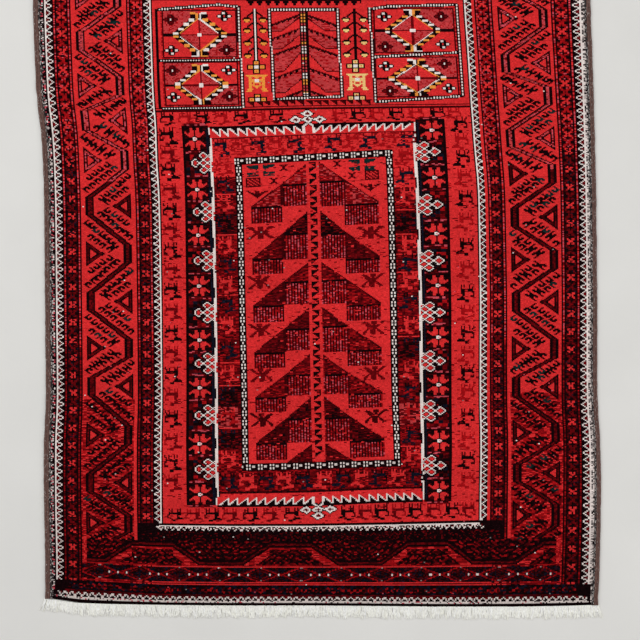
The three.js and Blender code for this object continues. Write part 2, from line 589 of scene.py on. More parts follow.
OUTER_STRIPES = (
    Stripe(0, 19, BLACK),
    Stripe(1, 1, IVORY),
    Stripe(7, 1, ROSE),
    Stripe(17, 1, ROSE),
)

INNER_STRIPES = (
    Stripe(55, 14, BLACK),
    Stripe(55, 2, RED),
    Stripe(58, 1, ROSE),
    Stripe(67, 1, ROSE),
)

WHITE_STRIPES = (
    Stripe(69, 6, BLACK),
    Stripe(73, 1, IVORY),
)


@dataclass(frozen=True)
class GuardStripes:
    """The narrow stripes on both edges of each side border, as on the left of the rug."""

    outer_guard: int = 9
    inner_guard: int = 60
    guard_width: int = 7
    outer_start: float = 295.2
    outer_pitch: float = 17.0
    inner_start: float = 199.7
    inner_pitch: float = 15.7
    reach: float = 4.0
    thread: float = 0.55
    outer_wave: float = 6.5
    inner_wave: float = 6.2
    inner_from: int = 60
    zigzag_from: int = 74
    bright_from: int = 430

    def knot(self, chart: KnotChart) -> None:
        """Knot the stripes of both sides.

        Args:
            chart: The chart to fill.
        """
        for turn in (None, OUTER_TURN):
            self.plain(chart, OUTER_STRIPES, turn, 0, ROWS)
            self.flowers(chart, self.outer_guard, turn, self.outer_start, self.outer_pitch)
            away = chart.x - 2 if turn is None else OUTER_TURN - 1 - chart.x
            strip = (away > 0) & (away < self.reach) & (chart.row >= 4)
            chart.zigzag(away, chart.y, strip, self.reach, self.outer_wave, self.thread)
        for turn, white_turn in ((None, None), (INNER_TURN, WHITE_TURN)):
            low, high = self.inner_from, ROWS - self.inner_from
            self.plain(chart, INNER_STRIPES, turn, low, high)
            self.plain(chart, WHITE_STRIPES, white_turn, low, high)
            self.flowers(chart, self.inner_guard, turn, self.inner_start, self.inner_pitch)
            away = 73 - chart.x if turn is None else chart.x - (WHITE_TURN - 72)
            low, high = self.zigzag_from, ROWS - self.zigzag_from
            strip = (away > 0) & (away < self.reach) & (chart.row >= low) & (chart.row < high)
            chart.zigzag(away, chart.y + 3.5, strip, self.reach, self.inner_wave, self.thread)
        self.edging(chart)

    def plain(self, chart: KnotChart, stripes: tuple[Stripe, ...], turn: int | None,
              low: int, high: int) -> None:
        """Knot the plain stripes of one side.

        Args:
            chart: The chart to fill.
            stripes: The stripes, each over the ones before it.
            turn: Sum of a column and its mirror on the right, or None for the left.
            low: First row.
            high: Row past the last one.
        """
        for stripe in stripes:
            left = stripe.column if turn is None else turn - stripe.column - stripe.width + 1
            area = chart.area(left, left + stripe.width, low, high)
            if stripe.dye is ROSE:
                chart.heather(area & (chart.y < 250), MAROON, MAROON, CRIMSON, EARTH)
                chart.heather(area & (chart.y > 250), ROSE, CRIMSON, RED, MAROON)
            else:
                chart.lay(area, stripe.dye)

    def flowers(self, chart: KnotChart, column: int, turn: int | None, start: float,
                pitch: float) -> None:
        """Knot one guard of small crossed flowers, on a lighter ground in the upper rug.

        Args:
            chart: The chart to fill.
            column: First column on the left of the rug.
            turn: Sum of a column and its mirror on the right, or None for the left.
            start: Row where a repeat starts.
            pitch: Rows for one repeat.
        """
        left = column if turn is None else turn - column - self.guard_width + 1
        right = left + self.guard_width
        lower = chart.area(left, right, 0, self.bright_from)
        upper = chart.area(left, right, self.bright_from, ROWS)
        chart.tile(GUARD_FLOWER, lower, left, start, LOWER_GUARD, pitch)
        chart.tile(GUARD_FLOWER, upper, left, start, UPPER_GUARD, pitch)
        chart.heather(lower, BLACK, BLACK, EARTH, NAVY, share=0.22)
        chart.heather(upper, ROSE, CRIMSON, BLACK, EARTH, share=0.14)

    def edging(self, chart: KnotChart) -> None:
        """Knot the outermost columns, where pale warps show between turns of dark hair.

        Args:
            chart: The chart to fill.
        """
        left = chart.area(-EDGING, 0, 0, ROWS)
        right = chart.area(OUTER_TURN, COLUMNS, 0, ROWS)
        chart.heather(left, BLACK, BLACK, IVORY, BLACK, GREY, ROSE)
        chart.heather(right, GREY, IVORY, GREY, BLACK, IVORY)


@dataclass(frozen=True)
class Turn:
    """A straight stretch of the border's vine: its middle row and which side it is on."""

    row: int
    right: bool


def turns(rows: tuple[int, ...], first_right: bool) -> tuple[Turn, ...]:
    """Name the straight stretches of a vine, which change sides one after another.

    Args:
        rows: Middle rows, the lowest first.
        first_right: Whether the lowest is on the right.

    Returns:
        The stretches, the lowest first.
    """
    return tuple(Turn(row, first_right == (i % 2 == 0)) for i, row in enumerate(rows))


@dataclass(frozen=True)
class MainBorder:
    """A wide red side border: an outlined vine, outlined triangles and rows of hooks."""

    left: int
    right: int
    low_side: float
    high_side: float
    vine: tuple[Turn, ...]
    run: float = 8.5
    vine_half: float = 3.0
    inset: float = 2.9
    depth: float = 13.2
    half: float = 12.6
    hook_pitch: float = 4.1
    bright_from: int = 410

    def knot(self, chart: KnotChart) -> None:
        """Knot the ground, then the hooks, the triangles and the vine over them.

        Args:
            chart: The chart to fill.
        """
        chart.block(self.left, self.right, 0, ROWS, RED)
        lower = chart.area(self.left, self.right, 0, 200)
        chart.heather(lower, CRIMSON, CRIMSON, MAROON, run=(1, 2), share=0.75)
        for start, end in zip(self.vine, self.vine[1:]):
            self.slant_hooks(chart, start, end)
        for turn in self.vine:
            self.triangle_hooks(chart, turn)
        for turn in self.vine:
            self.triangle(chart, turn)
        self.line(chart)

    def side(self, turn: Turn) -> float:
        """The middle column of one straight stretch."""
        return self.high_side if turn.right else self.low_side

    def hook(self, chart: KnotChart, x: float, y: float, leftwards: bool, upwards: bool) -> None:
        """Knot one hook.

        Args:
            chart: The chart to fill.
            x: Column of its foot.
            y: Row of its foot.
            leftwards: Whether it leans to the left of its foot.
            upwards: Whether it stands above its foot.
        """
        motif = HOOK if leftwards else HOOK.mirrored()
        motif = motif if upwards else motif.flipped()
        width, height = len(HOOK.rows[0]), len(HOOK.rows)
        dyes = {"k": GREEN if chart.chance.random() < 0.12 else BLACK, "m": EARTH}
        chart.stamp(motif, x - width if leftwards else x, y if upwards else y - height, dyes)

    def slant_hooks(self, chart: KnotChart, start: Turn, end: Turn) -> None:
        """Knot the hooks on both sides of one slant of the vine.

        Args:
            chart: The chart to fill.
            start: The stretch below the slant.
            end: The stretch above it.
        """
        first = np.array([self.side(start), start.row + self.run])
        last = np.array([self.side(end), end.row - self.run])
        count = max(2, round(0.78 * (last[1] - first[1]) / self.hook_pitch) + 1)
        for share in np.linspace(0.16, 0.92, count):
            x, y = first + share * (last - first)
            away = -self.vine_half if end.right else self.vine_half
            self.hook(chart, x + away, y, end.right, True)
        for share in np.linspace(0.10, 0.86, count):
            x, y = first + share * (last - first)
            away = self.vine_half if end.right else -self.vine_half
            self.hook(chart, x + away, y, not end.right, False)

    def triangle_hooks(self, chart: KnotChart, turn: Turn) -> None:
        """Knot the hooks on each slanted side of one triangle, from its tip outwards.

        Args:
            chart: The chart to fill.
            turn: The stretch that it faces.
        """
        base, inward = (self.left, 1) if turn.right else (self.right, -1)
        for k in range(4):
            x = base + inward * (self.inset + self.depth + 0.5 - 4.2 * k)
            for up in (-1, 1):
                y = turn.row + up * (self.hook_pitch * k + 1)
                self.hook(chart, x, y, not turn.right, up > 0)

    def triangle(self, chart: KnotChart, turn: Turn) -> None:
        """Knot one triangle: a black line, a dull one, a black one, and a red middle.

        It lies where depth times (1 - rows from its middle / half height) is past the column.

        Args:
            chart: The chart to fill.
            turn: The stretch that it faces.
        """
        depth = chart.x - self.left if turn.right else self.right - chart.x
        depth = depth - self.inset
        reach = self.depth * (1 - np.abs(chart.y - turn.row) / self.half) - depth
        inside = (reach > 0) & (depth > 0)
        edge = np.minimum(reach / 2, depth)
        bright = turn.row > self.bright_from
        chart.lay(inside, RED)
        chart.lay(inside & (edge < 2.9), BLACK)
        dull = (RUST, MAROON, ROSE) if bright else (EARTH, MAROON, EARTH)
        chart.heather(inside & (edge >= 0.85) & (edge < 1.95), *dull)

    def line(self, chart: KnotChart) -> None:
        """Knot the vine, a chain of straight stretches joined by slants.

        Args:
            chart: The chart to fill.
        """
        rows = np.array([turn.row for turn in self.vine], float)
        sides = np.array([self.side(turn) for turn in self.vine])
        knees = np.stack([rows - self.run, rows + self.run], 1).ravel()
        middle = np.interp(chart.y, knees, np.repeat(sides, 2))
        slanted = np.abs(np.gradient(middle[:, 0]))[:, None] > 0.1
        ground = chart.area(self.left, self.right, 0, ROWS)
        off = np.abs(chart.x - middle)
        chart.lay(ground & (off < self.vine_half), BLACK)
        core = ground & (off < 1.2 - 0.1 * slanted)
        bright = chart.y > self.bright_from
        chart.heather(core & bright, RUST, MAROON, ROSE, RUST)
        chart.heather(core & ~bright, EARTH, MAROON, EARTH, MAROON)


DARK_BEAST = {"k": BLACK, "m": EARTH}
DULL_BEAST = {"k": MAROON, "m": CRIMSON}
FAINT_BEAST = {"k": CRIMSON, "m": CRIMSON}
RED_BEAST = {"k": RED, "m": RED}


@dataclass(frozen=True)
class BeastBand:
    """The red band of small beasts, dark and dull by turns, around the inner rug."""

    left: int = 75
    right: int = 294
    low: int = 79
    high: int = 594
    left_dark: tuple[int, ...] = (137, 180, 222, 262, 303, 342, 380, 418, 450)
    left_dull: tuple[int, ...] = (118, 158, 201, 242, 283, 322, 361, 399, 434)
    right_dark: tuple[int, ...] = (135, 176, 217, 254, 293, 337, 382, 420, 454)
    right_dull: tuple[int, ...] = (115, 154, 199, 235, 274, 315, 361, 402, 437)
    head_dark: tuple[int, ...] = (82, 108, 136, 160, 216, 242, 269)
    head_dull: tuple[int, ...] = (95, 122, 148, 203, 229, 255, 281)
    foot_dark: tuple[int, ...] = (83, 109, 135, 163, 201, 224, 248, 274)
    foot_dull: tuple[int, ...] = (96, 121, 148, 213, 236, 261, 286)
    foot_row: int = 81
    head_row: int = 460

    def knot(self, chart: KnotChart) -> None:
        """Knot the ground, the two side rows and the rows at foot and head.

        Args:
            chart: The chart to fill.
        """
        chart.block(self.left, self.right, self.low, self.high, RED)
        for rows, dyes in ((self.left_dull, DULL_BEAST), (self.left_dark, DARK_BEAST)):
            for row in rows:
                chart.stamp(BEAST, self.left, row - 8, dyes)
        for rows, dyes in ((self.right_dull, FAINT_BEAST), (self.right_dark, DARK_BEAST)):
            for row in rows:
                chart.stamp(BEAST.mirrored(), self.right - 16, row - 8, dyes)
        middle = (self.left + self.right) / 2
        for low, columns, dyes in ((self.head_row, self.head_dull, FAINT_BEAST),
                                   (self.head_row, self.head_dark, DARK_BEAST),
                                   (self.foot_row, self.foot_dull, DULL_BEAST),
                                   (self.foot_row, self.foot_dark, DARK_BEAST)):
            for column in columns:
                motif = SHORT_BEAST if column < middle - 8 else SHORT_BEAST.mirrored()
                chart.stamp(motif, column - 6, low, dyes)
        frayed = chart.area(self.left, self.right, self.low, 480)
        chart.heather(frayed, CRIMSON, RED, MAROON, run=(1, 2), share=0.10)


@dataclass(frozen=True)
class StarBand:
    """A dark side band of red stars, with knots of white diamonds between them."""

    left: int
    right: int
    white: int
    flip: bool
    star_column: float
    diamond_column: float
    star_rows: tuple[int, ...]
    diamond_rows: tuple[int, ...]
    low: int = 97
    high: int = 458
    half_width: float = 3.15
    half_height: float = 3.3

    def knot(self, chart: KnotChart) -> None:
        """Knot the mottled ground, the stars, the white line and the diamonds.

        Args:
            chart: The chart to fill.
        """
        band = chart.area(self.left, self.right, self.low, self.high)
        chart.heather(band, BLACK, EARTH, NAVY, MAROON, BLACK, CRIMSON, EARTH, run=(3, 3))
        star_dyes = {"x": RED, "w": IVORY, "r": ROSE, "k": BLACK}
        for row in self.star_rows:
            around = chart.area(self.left, self.right, row - 11, row + 11)
            chart.heather(around, BLACK, BLACK, EARTH, run=(1, 2))
            for low in (row - 13, row + 11):
                strip = chart.area(self.left + 2, self.right - 2, low, low + 2)
                chart.heather(strip, MAROON, ROSE, EARTH, run=(1, 2))
            chart.stamp(STAR, self.star_column - 7.5, row - 10, star_dyes)
        outer = self.right - 2 if self.flip else self.left
        inner = self.left if self.flip else self.right - 2
        chart.block(outer, outer + 2, self.low, self.high, BLACK)
        chart.block(inner, inner + 2, self.low, self.high, NAVY)
        waver = self.white + 1 + 0.3 * np.sin(chart.y * 0.13)
        line = (chart.y > self.low) & (chart.y < self.high)
        chart.lay(line & (np.abs(chart.x - waver) < 1.7), BLACK)
        for row in self.diamond_rows:
            self.diamonds(chart, row)
        chart.lay(line & (np.abs(chart.x - waver) < 0.74), IVORY)

    def diamonds(self, chart: KnotChart, row: int) -> None:
        """Knot one group of white-outlined diamonds that points outwards.

        A diamond's reach is the columns off its middle as a share of half its width, plus the
        same for the rows. White knots lie where the reach is close to one, red ones inside.

        Args:
            chart: The chart to fill.
            row: The group's middle row.
        """
        outwards = 1 if self.flip else -1
        tip = (2, 0, 1.0, 1.25)
        places = [tip, *((step, rise, 1.0, 1.0) for step, rise in (
            (0, -2), (0, 0), (0, 2), (-1, -1), (-1, 1), (-2, -2), (-2, 0), (-2, 2)))]
        reaches = []
        for step, rise, wide, tall in places:
            x = self.diamond_column + outwards * step * self.half_width
            y = row + rise * self.half_height
            across = np.abs(chart.x - x) / (self.half_width * wide)
            reaches.append(across + np.abs(chart.y - y) / (self.half_height * tall))
        reach = np.minimum.reduce(reaches)
        inner = (self.white + 1 - chart.x) * outwards < 0.9
        chart.lay((reach < 1.75) & inner, BLACK)
        chart.lay((reach < 1.14) & inner, IVORY)
        chart.lay((reach < 0.84) & inner, MAROON)
        chart.lay((reach < 0.52) & inner, RED)


class BlockTone(Enum):
    """How one block of the inner band is dyed: its ground's yarns, then its beast's."""

    CLEAR = ((RED, RED, RED, CRIMSON), FAINT_BEAST)
    MARKED = ((RED, RED, CRIMSON), {"k": NAVY, "m": MAROON})
    BRIGHT = ((MAROON, EARTH, CRIMSON), RED_BEAST)
    ROSY = ((MAROON, RUST, EARTH), {"k": CRIMSON, "m": RED})
    DIM = ((MAROON, EARTH, MAROON, CRIMSON), {"k": NAVY, "m": BLACK})
    DARK = ((BLACK, EARTH, MAROON), {"k": BLACK, "m": NAVY})


CLEAR, MARKED, BRIGHT, ROSY, DIM, DARK = BlockTone


@dataclass(frozen=True)
class BlockStep:
    """One block of the inner band: its middle row and its tone."""

    row: int
    tone: BlockTone


LEFT_BLOCKS = (
    BlockStep(141, BRIGHT), BlockStep(161, DARK),
    BlockStep(182, ROSY), BlockStep(202, DARK),
    BlockStep(223, BRIGHT), BlockStep(246, DIM),
    BlockStep(270, BRIGHT), BlockStep(290, DIM),
    BlockStep(309, BRIGHT), BlockStep(329, DIM),
    BlockStep(347, BRIGHT), BlockStep(368, DARK),
    BlockStep(388, BRIGHT), BlockStep(405, DIM),
    BlockStep(422, CLEAR), BlockStep(441, MARKED),
)

RIGHT_BLOCKS = (
    BlockStep(140, BRIGHT), BlockStep(159, DIM),
    BlockStep(181, ROSY), BlockStep(201, DIM),
    BlockStep(221, BRIGHT), BlockStep(243, DARK),
    BlockStep(264, BRIGHT), BlockStep(286, DIM),
    BlockStep(306, BRIGHT), BlockStep(323, DIM),
    BlockStep(340, BRIGHT), BlockStep(361, DARK),
    BlockStep(386, BRIGHT), BlockStep(405, MARKED),
    BlockStep(423, CLEAR), BlockStep(441, MARKED),
)


@dataclass(frozen=True)
class InnerBand:
    """The band of beast blocks around the tree field, with its white sawtooth ends."""

    left: int = 114
    right: int = 253
    low: int = 107
    high: int = 449
    field_left: int = 130
    field_right: int = 239
    field_low: int = 130
    field_high: int = 431
    block_width: float = 12.8
    blocks_across: int = 11
    head_saw: tuple[float, float] = (450.5, 457.3)
    foot_saw: tuple[float, float] = (103.8, 97.0)
    tooth: float = 6.1
    gap: tuple[float, float] = (177.5, 185.3)

    def knot(self, chart: KnotChart) -> None:
        """Knot the side blocks, the rows at foot and head, and the sawteeth.

        Args:
            chart: The chart to fill.
        """
        self.blocks(chart, LEFT_BLOCKS, self.left, self.field_left, BEAST)
        self.blocks(chart, RIGHT_BLOCKS, self.field_right, self.right, BEAST.mirrored())
        self.row(chart, self.low + 2, self.field_low, DIM, BRIGHT)
        self.row(chart, self.field_high, self.high, MARKED, CLEAR)
        chart.heather(chart.area(self.left, self.right, self.low + 1, self.low + 3), EARTH, BLACK)
        chart.heather(chart.area(self.left, self.right, self.high - 1, self.high), EARTH, MAROON)
        self.sawtooth(chart, *self.head_saw, head=True)
        self.sawtooth(chart, *self.foot_saw, head=False)

    def blocks(self, chart: KnotChart, steps: tuple[BlockStep, ...], left: int, right: int,
               beast: Motif) -> None:
        """Knot the blocks of one side, each streaked and frayed along its rows.

        Args:
            chart: The chart to fill.
            steps: The blocks, the lowest first.
            left: First column.
            right: Column past the last one.
            beast: The beast as it faces on this side.
        """
        rows = np.array([step.row for step in steps])
        bounds = [self.field_low, *((rows[:-1] + rows[1:]) / 2), self.high]
        for step, low, high in zip(steps, bounds, bounds[1:]):
            ground, dyes = step.tone.value
            area = chart.area(left, right, low, high)
            chart.heather(area, *ground, run=(1, 2))
            chart.stamp(beast, left + 1, step.row - 8, dyes)
            chart.heather(area, *ground, run=(1, 2), share=0.18)

    def row(self, chart: KnotChart, low: int, high: int, first: BlockTone, second: BlockTone) -> None:
        """Knot the row of beasts above or below the tree.

        Args:
            chart: The chart to fill.
            low: First row.
            high: Row past the last one.
            first: Tone of the outermost block.
            second: Tone of the next one.
        """
        for i in range(self.blocks_across):
            ground, dyes = (second if i % 2 else first).value
            left = self.left + i * self.block_width
            area = chart.area(left, min(left + self.block_width, self.right), low, high)
            chart.heather(area, *ground, run=(1, 2))
            motif = BEAST if left < 172 else BEAST.mirrored()
            chart.stamp(motif, left, low + (high - low - 17) / 2, dyes)
            chart.heather(area, *ground, run=(1, 2), share=0.12)

    def sawtooth(self, chart: KnotChart, foot: float, tip: float, head: bool) -> None:
        """Knot one white sawtooth: slants that each end in an upright stroke.

        Args:
            chart: The chart to fill.
            foot: Row of the uprights' ends on the tree's side.
            tip: Row of their outer ends.
            head: True for the one above the tree.
        """
        out = 1.0 if head else -1.0
        low, high = min(foot, tip) - 1.6, max(foot, tip) + 1.6
        chart.block(self.left - 1, self.right + 1, low, high, RED)
        outer = (tip, tip + 1.6) if head else (tip - 1.6, tip)
        chart.block(self.left - 1, self.right + 1, *outer, BLACK)
        for side, start, end in ((1, self.left, self.gap[0]), (-1, self.right, self.gap[1])):
            count = round(abs(end - start) / self.tooth)
            step = (end - start) / count
            for k in range(count):
                x = start + k * step
                upright = np.floor(x + step) + 0.5
                wedge = chart.area(min(x, upright), max(x, upright), low, high)
                above = (chart.y - tip) * out > -6.5 * np.clip((chart.x - x) / step, 0, 1)
                chart.lay(wedge & above & ((chart.y - tip) * out < 1.0), BLACK)
                chart.stroke(0.52, IVORY, (x + side, tip - out * 0.5), (upright, foot))
                chart.stroke(0.52, IVORY, (upright, foot), (upright, tip - out * 0.5))
        self.finials(chart, tip, out)

    def finials(self, chart: KnotChart, tip: float, out: float) -> None:
        """Knot the arch at the sawtooth's gap, with four small diamonds beyond it.

        Args:
            chart: The chart to fill.
            tip: Row of the sawtooth's outer ends.
            out: One for the head and minus one for the foot.
        """
        left, right = self.gap
        middle = (left + right) / 2
        chart.block(left + 0.5, right - 0.5, tip - 8, tip + 8, RED)
        arch = ((left + 0.5, tip - out * 6.5), (left + 0.5, tip - out * 0.5), (middle, tip + out * 2.6),
                (right - 0.5, tip - out * 0.5), (right - 0.5, tip - out * 6.5))
        chart.stroke(1.7, BLACK, *arch[1:4])
        chart.stroke(0.62, IVORY, *arch)
        for x, beyond in ((-8.2, 5.4), (0.0, 5.4), (8.2, 5.4), (0.0, 10.9)):
            chart.diamond(middle + x, tip + out * beyond, 4.0, 3.0)


RUSTY_LEAF = (MAROON, RUST, MAROON, CRIMSON)
WARM_LEAF = (MAROON, MAROON, CRIMSON, EARTH)
DEEP_LEAF = (MAROON, EARTH, EARTH, MAROON)
PLUM_LEAF = (MAROON, EARTH, EARTH, BLACK)
DARK_LEAF = (BLACK, EARTH, BLACK, MAROON)


@dataclass(frozen=True)
class Leaf:
    """One hanging leaf: its top row at the trunk, then each half's lower line and comb ends."""

    top: float
    near_line: float
    near_foot: float
    far_line: float
    far_foot: float
    near: tuple[Dye, ...]
    far: tuple[Dye, ...]


LEFT_LEAVES = (
    Leaf(154, 137, 120, 117, 100, DEEP_LEAF, DEEP_LEAF),
    Leaf(199, 179, 156, 156, 140, PLUM_LEAF, PLUM_LEAF),
    Leaf(240, 221, 201, 200, 186, WARM_LEAF, WARM_LEAF),
    Leaf(284, 265, 244, 243, 228, DEEP_LEAF, DEEP_LEAF),
    Leaf(327, 310, 288, 288, 272, WARM_LEAF, DEEP_LEAF),
    Leaf(376, 356, 331, 333, 318, DARK_LEAF, DEEP_LEAF),
    Leaf(421, 403, 382, 383, 367, RUSTY_LEAF, RUSTY_LEAF),
)

RIGHT_LEAVES = (
    Leaf(154, 138, 120, 117, 100, DEEP_LEAF, DEEP_LEAF),
    Leaf(199, 179, 156, 156, 139.5, PLUM_LEAF, PLUM_LEAF),
    Leaf(239, 220, 201, 200.5, 186.5, WARM_LEAF, WARM_LEAF),
    Leaf(284, 265.5, 241, 242, 227, DEEP_LEAF, WARM_LEAF),
    Leaf(327, 309.5, 287, 285, 270, WARM_LEAF, WARM_LEAF),
    Leaf(376, 354, 330, 329, 315, DARK_LEAF, DEEP_LEAF),
    Leaf(423, 404, 380, 381, 361, RUSTY_LEAF, RUSTY_LEAF),
)


@dataclass(frozen=True)
class Figure:
    """One small figure in the field: its motif, its lowest left knot, and its yarns."""

    motif: Motif
    left: int
    low: int
    dyes: dict[str, Dye]


DARK_BUG = {"#": EARTH}
RED_BUG = {"#": MAROON}
GREEN_FIGURE = {"k": GREEN}
BROWN_FIGURE = {"k": EARTH, "m": MAROON}
FIELD_FIGURES = (
    Figure(WIDE_BUG, 136, 352, RED_BUG),
    Figure(BUG, 136, 304, RED_BUG),
    Figure(BUG, 136, 258, RED_BUG),
    Figure(BUG, 136, 215, RED_BUG),
    Figure(BUG, 136, 172, DARK_BUG),
    Figure(WIDE_BUG.mirrored(), 211, 347, RED_BUG),
    Figure(BUG.mirrored(), 215, 301, RED_BUG),
    Figure(BUG.mirrored(), 215, 256, RED_BUG),
    Figure(BUG.mirrored(), 215, 213, RED_BUG),
    Figure(BUG.mirrored(), 215, 172, DARK_BUG),
    Figure(WING_BLOCK, 138, 412, GREEN_FIGURE),
    Figure(WING_BLOCK.mirrored(), 148, 412, GREEN_FIGURE),
    Figure(WING_BLOCK, 208, 412, GREEN_FIGURE),
    Figure(WING_BLOCK.mirrored(), 218, 412, GREEN_FIGURE),
    Figure(HATCHED_SQUARE, 137, 402, BROWN_FIGURE),
    Figure(HATCHED_SQUARE, 219, 403, BROWN_FIGURE),
    Figure(SMALL_CROSS, 153, 404, BROWN_FIGURE),
    Figure(SMALL_CROSS, 160, 416, BROWN_FIGURE),
    Figure(SMALL_CROSS, 197, 417, BROWN_FIGURE),
    Figure(SMALL_CROSS, 207, 405, BROWN_FIGURE),
    Figure(ANCHOR, 137, 391, BROWN_FIGURE),
    Figure(ANCHOR, 215, 392, BROWN_FIGURE),
)


@dataclass(frozen=True)
class TreeField:
    """The red field with its tree of hanging, comb-edged leaves."""

    left: int = 135
    right: int = 234
    low: int = 137
    high: int = 424
    trunk: tuple[float, float] = (178.5, 186.5)
    left_reach: tuple[float, float] = (17.5, 38.5)
    right_reach: tuple[float, float] = (18.0, 42.0)
    tooth_pitch: float = 10.85
    teeth: int = 27
    left_tooth: int = 413
    right_tooth: int = 418

    def knot(self, chart: KnotChart) -> None:
        """Knot the bead guard, the field, the leaves, the small figures and the trunk.

        Args:
            chart: The chart to fill.
        """
        self.beads(chart)
        chart.block(self.left, self.right, self.low, self.high, RED)
        for leaf in LEFT_LEAVES:
            self.leaf(chart, leaf, self.trunk[0] - chart.x, self.left_reach)
        for leaf in RIGHT_LEAVES:
            self.leaf(chart, leaf, chart.x - self.trunk[1], self.right_reach)
        for figure in FIELD_FIGURES:
            chart.stamp(figure.motif, figure.left, figure.low, figure.dyes)
        self.stem(chart)
        field = chart.area(self.left, self.right, self.low, self.high)
        chart.heather(field, CRIMSON, MAROON, RED, run=(1, 2), share=0.07)

    def beads(self, chart: KnotChart) -> None:
        """Knot the black guard of white beads on all four sides.

        Args:
            chart: The chart to fill.
        """
        dyes = {".": BLACK, "w": IVORY}
        low, high = self.low - 7, self.high + 7
        for left in (self.left - 5, self.right):
            chart.tile(BEADS_DOWN, chart.area(left, left + 5, low, high), left, 3, dyes)
        for row, start in ((low, 132), (self.high, 137)):
            strip = chart.area(self.left - 5, self.right + 5, row, row + 7)
            chart.tile(BEADS_ACROSS, strip, start, row, dyes)

    def leaf(self, chart: KnotChart, leaf: Leaf, away: np.ndarray, reach: tuple[float, float]) -> None:
        """Knot one leaf: a sloping back, two filled halves and a comb under each.

        The back falls straight from the trunk to where the halves meet, and on to the tip.

        Args:
            chart: The chart to fill.
            leaf: Its rows.
            away: Columns from the trunk.
            reach: Columns from the trunk to where the halves meet, and to the tip.
        """
        split, tip = reach
        y = chart.y
        back = np.interp(away, (0, split, tip), (leaf.top, leaf.near_line, leaf.far_line))
        field = chart.area(self.left, self.right, self.low, self.high) & (away > 0) & (away < tip)
        for half, line, foot, mix in ((field & (away < split), leaf.near_line, leaf.near_foot,
                                       leaf.near),
                                      (field & (away >= split), leaf.far_line, leaf.far_foot,
                                       leaf.far)):
            chart.heather(half & (y < back) & (y > line), *mix, run=(1, 2))
            comb = half & (y <= line - 1.6) & (y > foot)
            chart.heather(comb, CRIMSON, ROSE, CRIMSON, MAROON)
            dark = comb & (np.floor(away).astype(int) % 2 == 0)
            chart.heather(dark, EARTH, BLACK, EARTH)
            chart.lay(half & (y > line - 1.6) & (y <= line), BLACK)
        chart.lay(field & (np.abs(y - back) < 0.75), EARTH)
        seam = (np.abs(away - split) < 0.6) & (y < leaf.near_line) & (y > leaf.far_line)
        chart.lay(field & seam, EARTH)

    def stem(self, chart: KnotChart) -> None:
        """Knot the red trunk with dark sides and black teeth, left and right by turns.

        Args:
            chart: The chart to fill.
        """
        left, right = self.trunk
        low, high = self.low, self.high - 1
        chart.block(left, right, low, high, RED)
        dyes = {"k": BLACK}
        sides = ((TRUNK_TOOTH.mirrored(), right - 6, self.right_tooth),
                 (TRUNK_TOOTH, left + 1, self.left_tooth))
        for k in range(self.teeth):
            for tooth, column, top in sides:
                row = top - k * self.tooth_pitch
                if row > low:
                    chart.stamp(tooth, column, row, dyes)
        chart.block(left, left + 1, low, high, EARTH)
        chart.block(right - 1, right, low, high, EARTH)


def beaded_line(chart: KnotChart, start: tuple[float, float], end: tuple[float, float]) -> None:
    """Knot a black line with white knots along its middle.

    An upright line is white with a rose knot in every third row. A level one has a white knot
    two rows high in every other column.

    Args:
        chart: The chart to fill.
        start: Column and row of its first end.
        end: Column and row of its last end.
    """
    (x0, y0), (x1, y1) = start, end
    if abs(y1 - y0) > abs(x1 - x0):
        off = np.abs(chart.x - np.interp(chart.y, (y0, y1), (x0, x1)))
        within = (chart.y > y0) & (chart.y < y1)
        chart.lay(within & (off < 1.35), BLACK)
        chart.lay(within & (off < 0.5), IVORY)
        chart.lay(within & (off < 0.5) & (chart.row % 3 == 0), MAROON)
        return
    off = np.abs(chart.y - np.interp(chart.x, (x0, x1), (y0, y1)))
    within = (chart.x > x0) & (chart.x < x1)
    chart.lay(within & (off < 1.7), BLACK)
    chart.lay(within & (off < 0.8) & (chart.column % 2 == 0), IVORY)


@dataclass(frozen=True)
class HandSquare:
    """One quartered square: its edges, its middle and half its diamond's height."""

    left: float
    right: float
    low: float
    high: float
    x: float
    y: float
    half_height: float


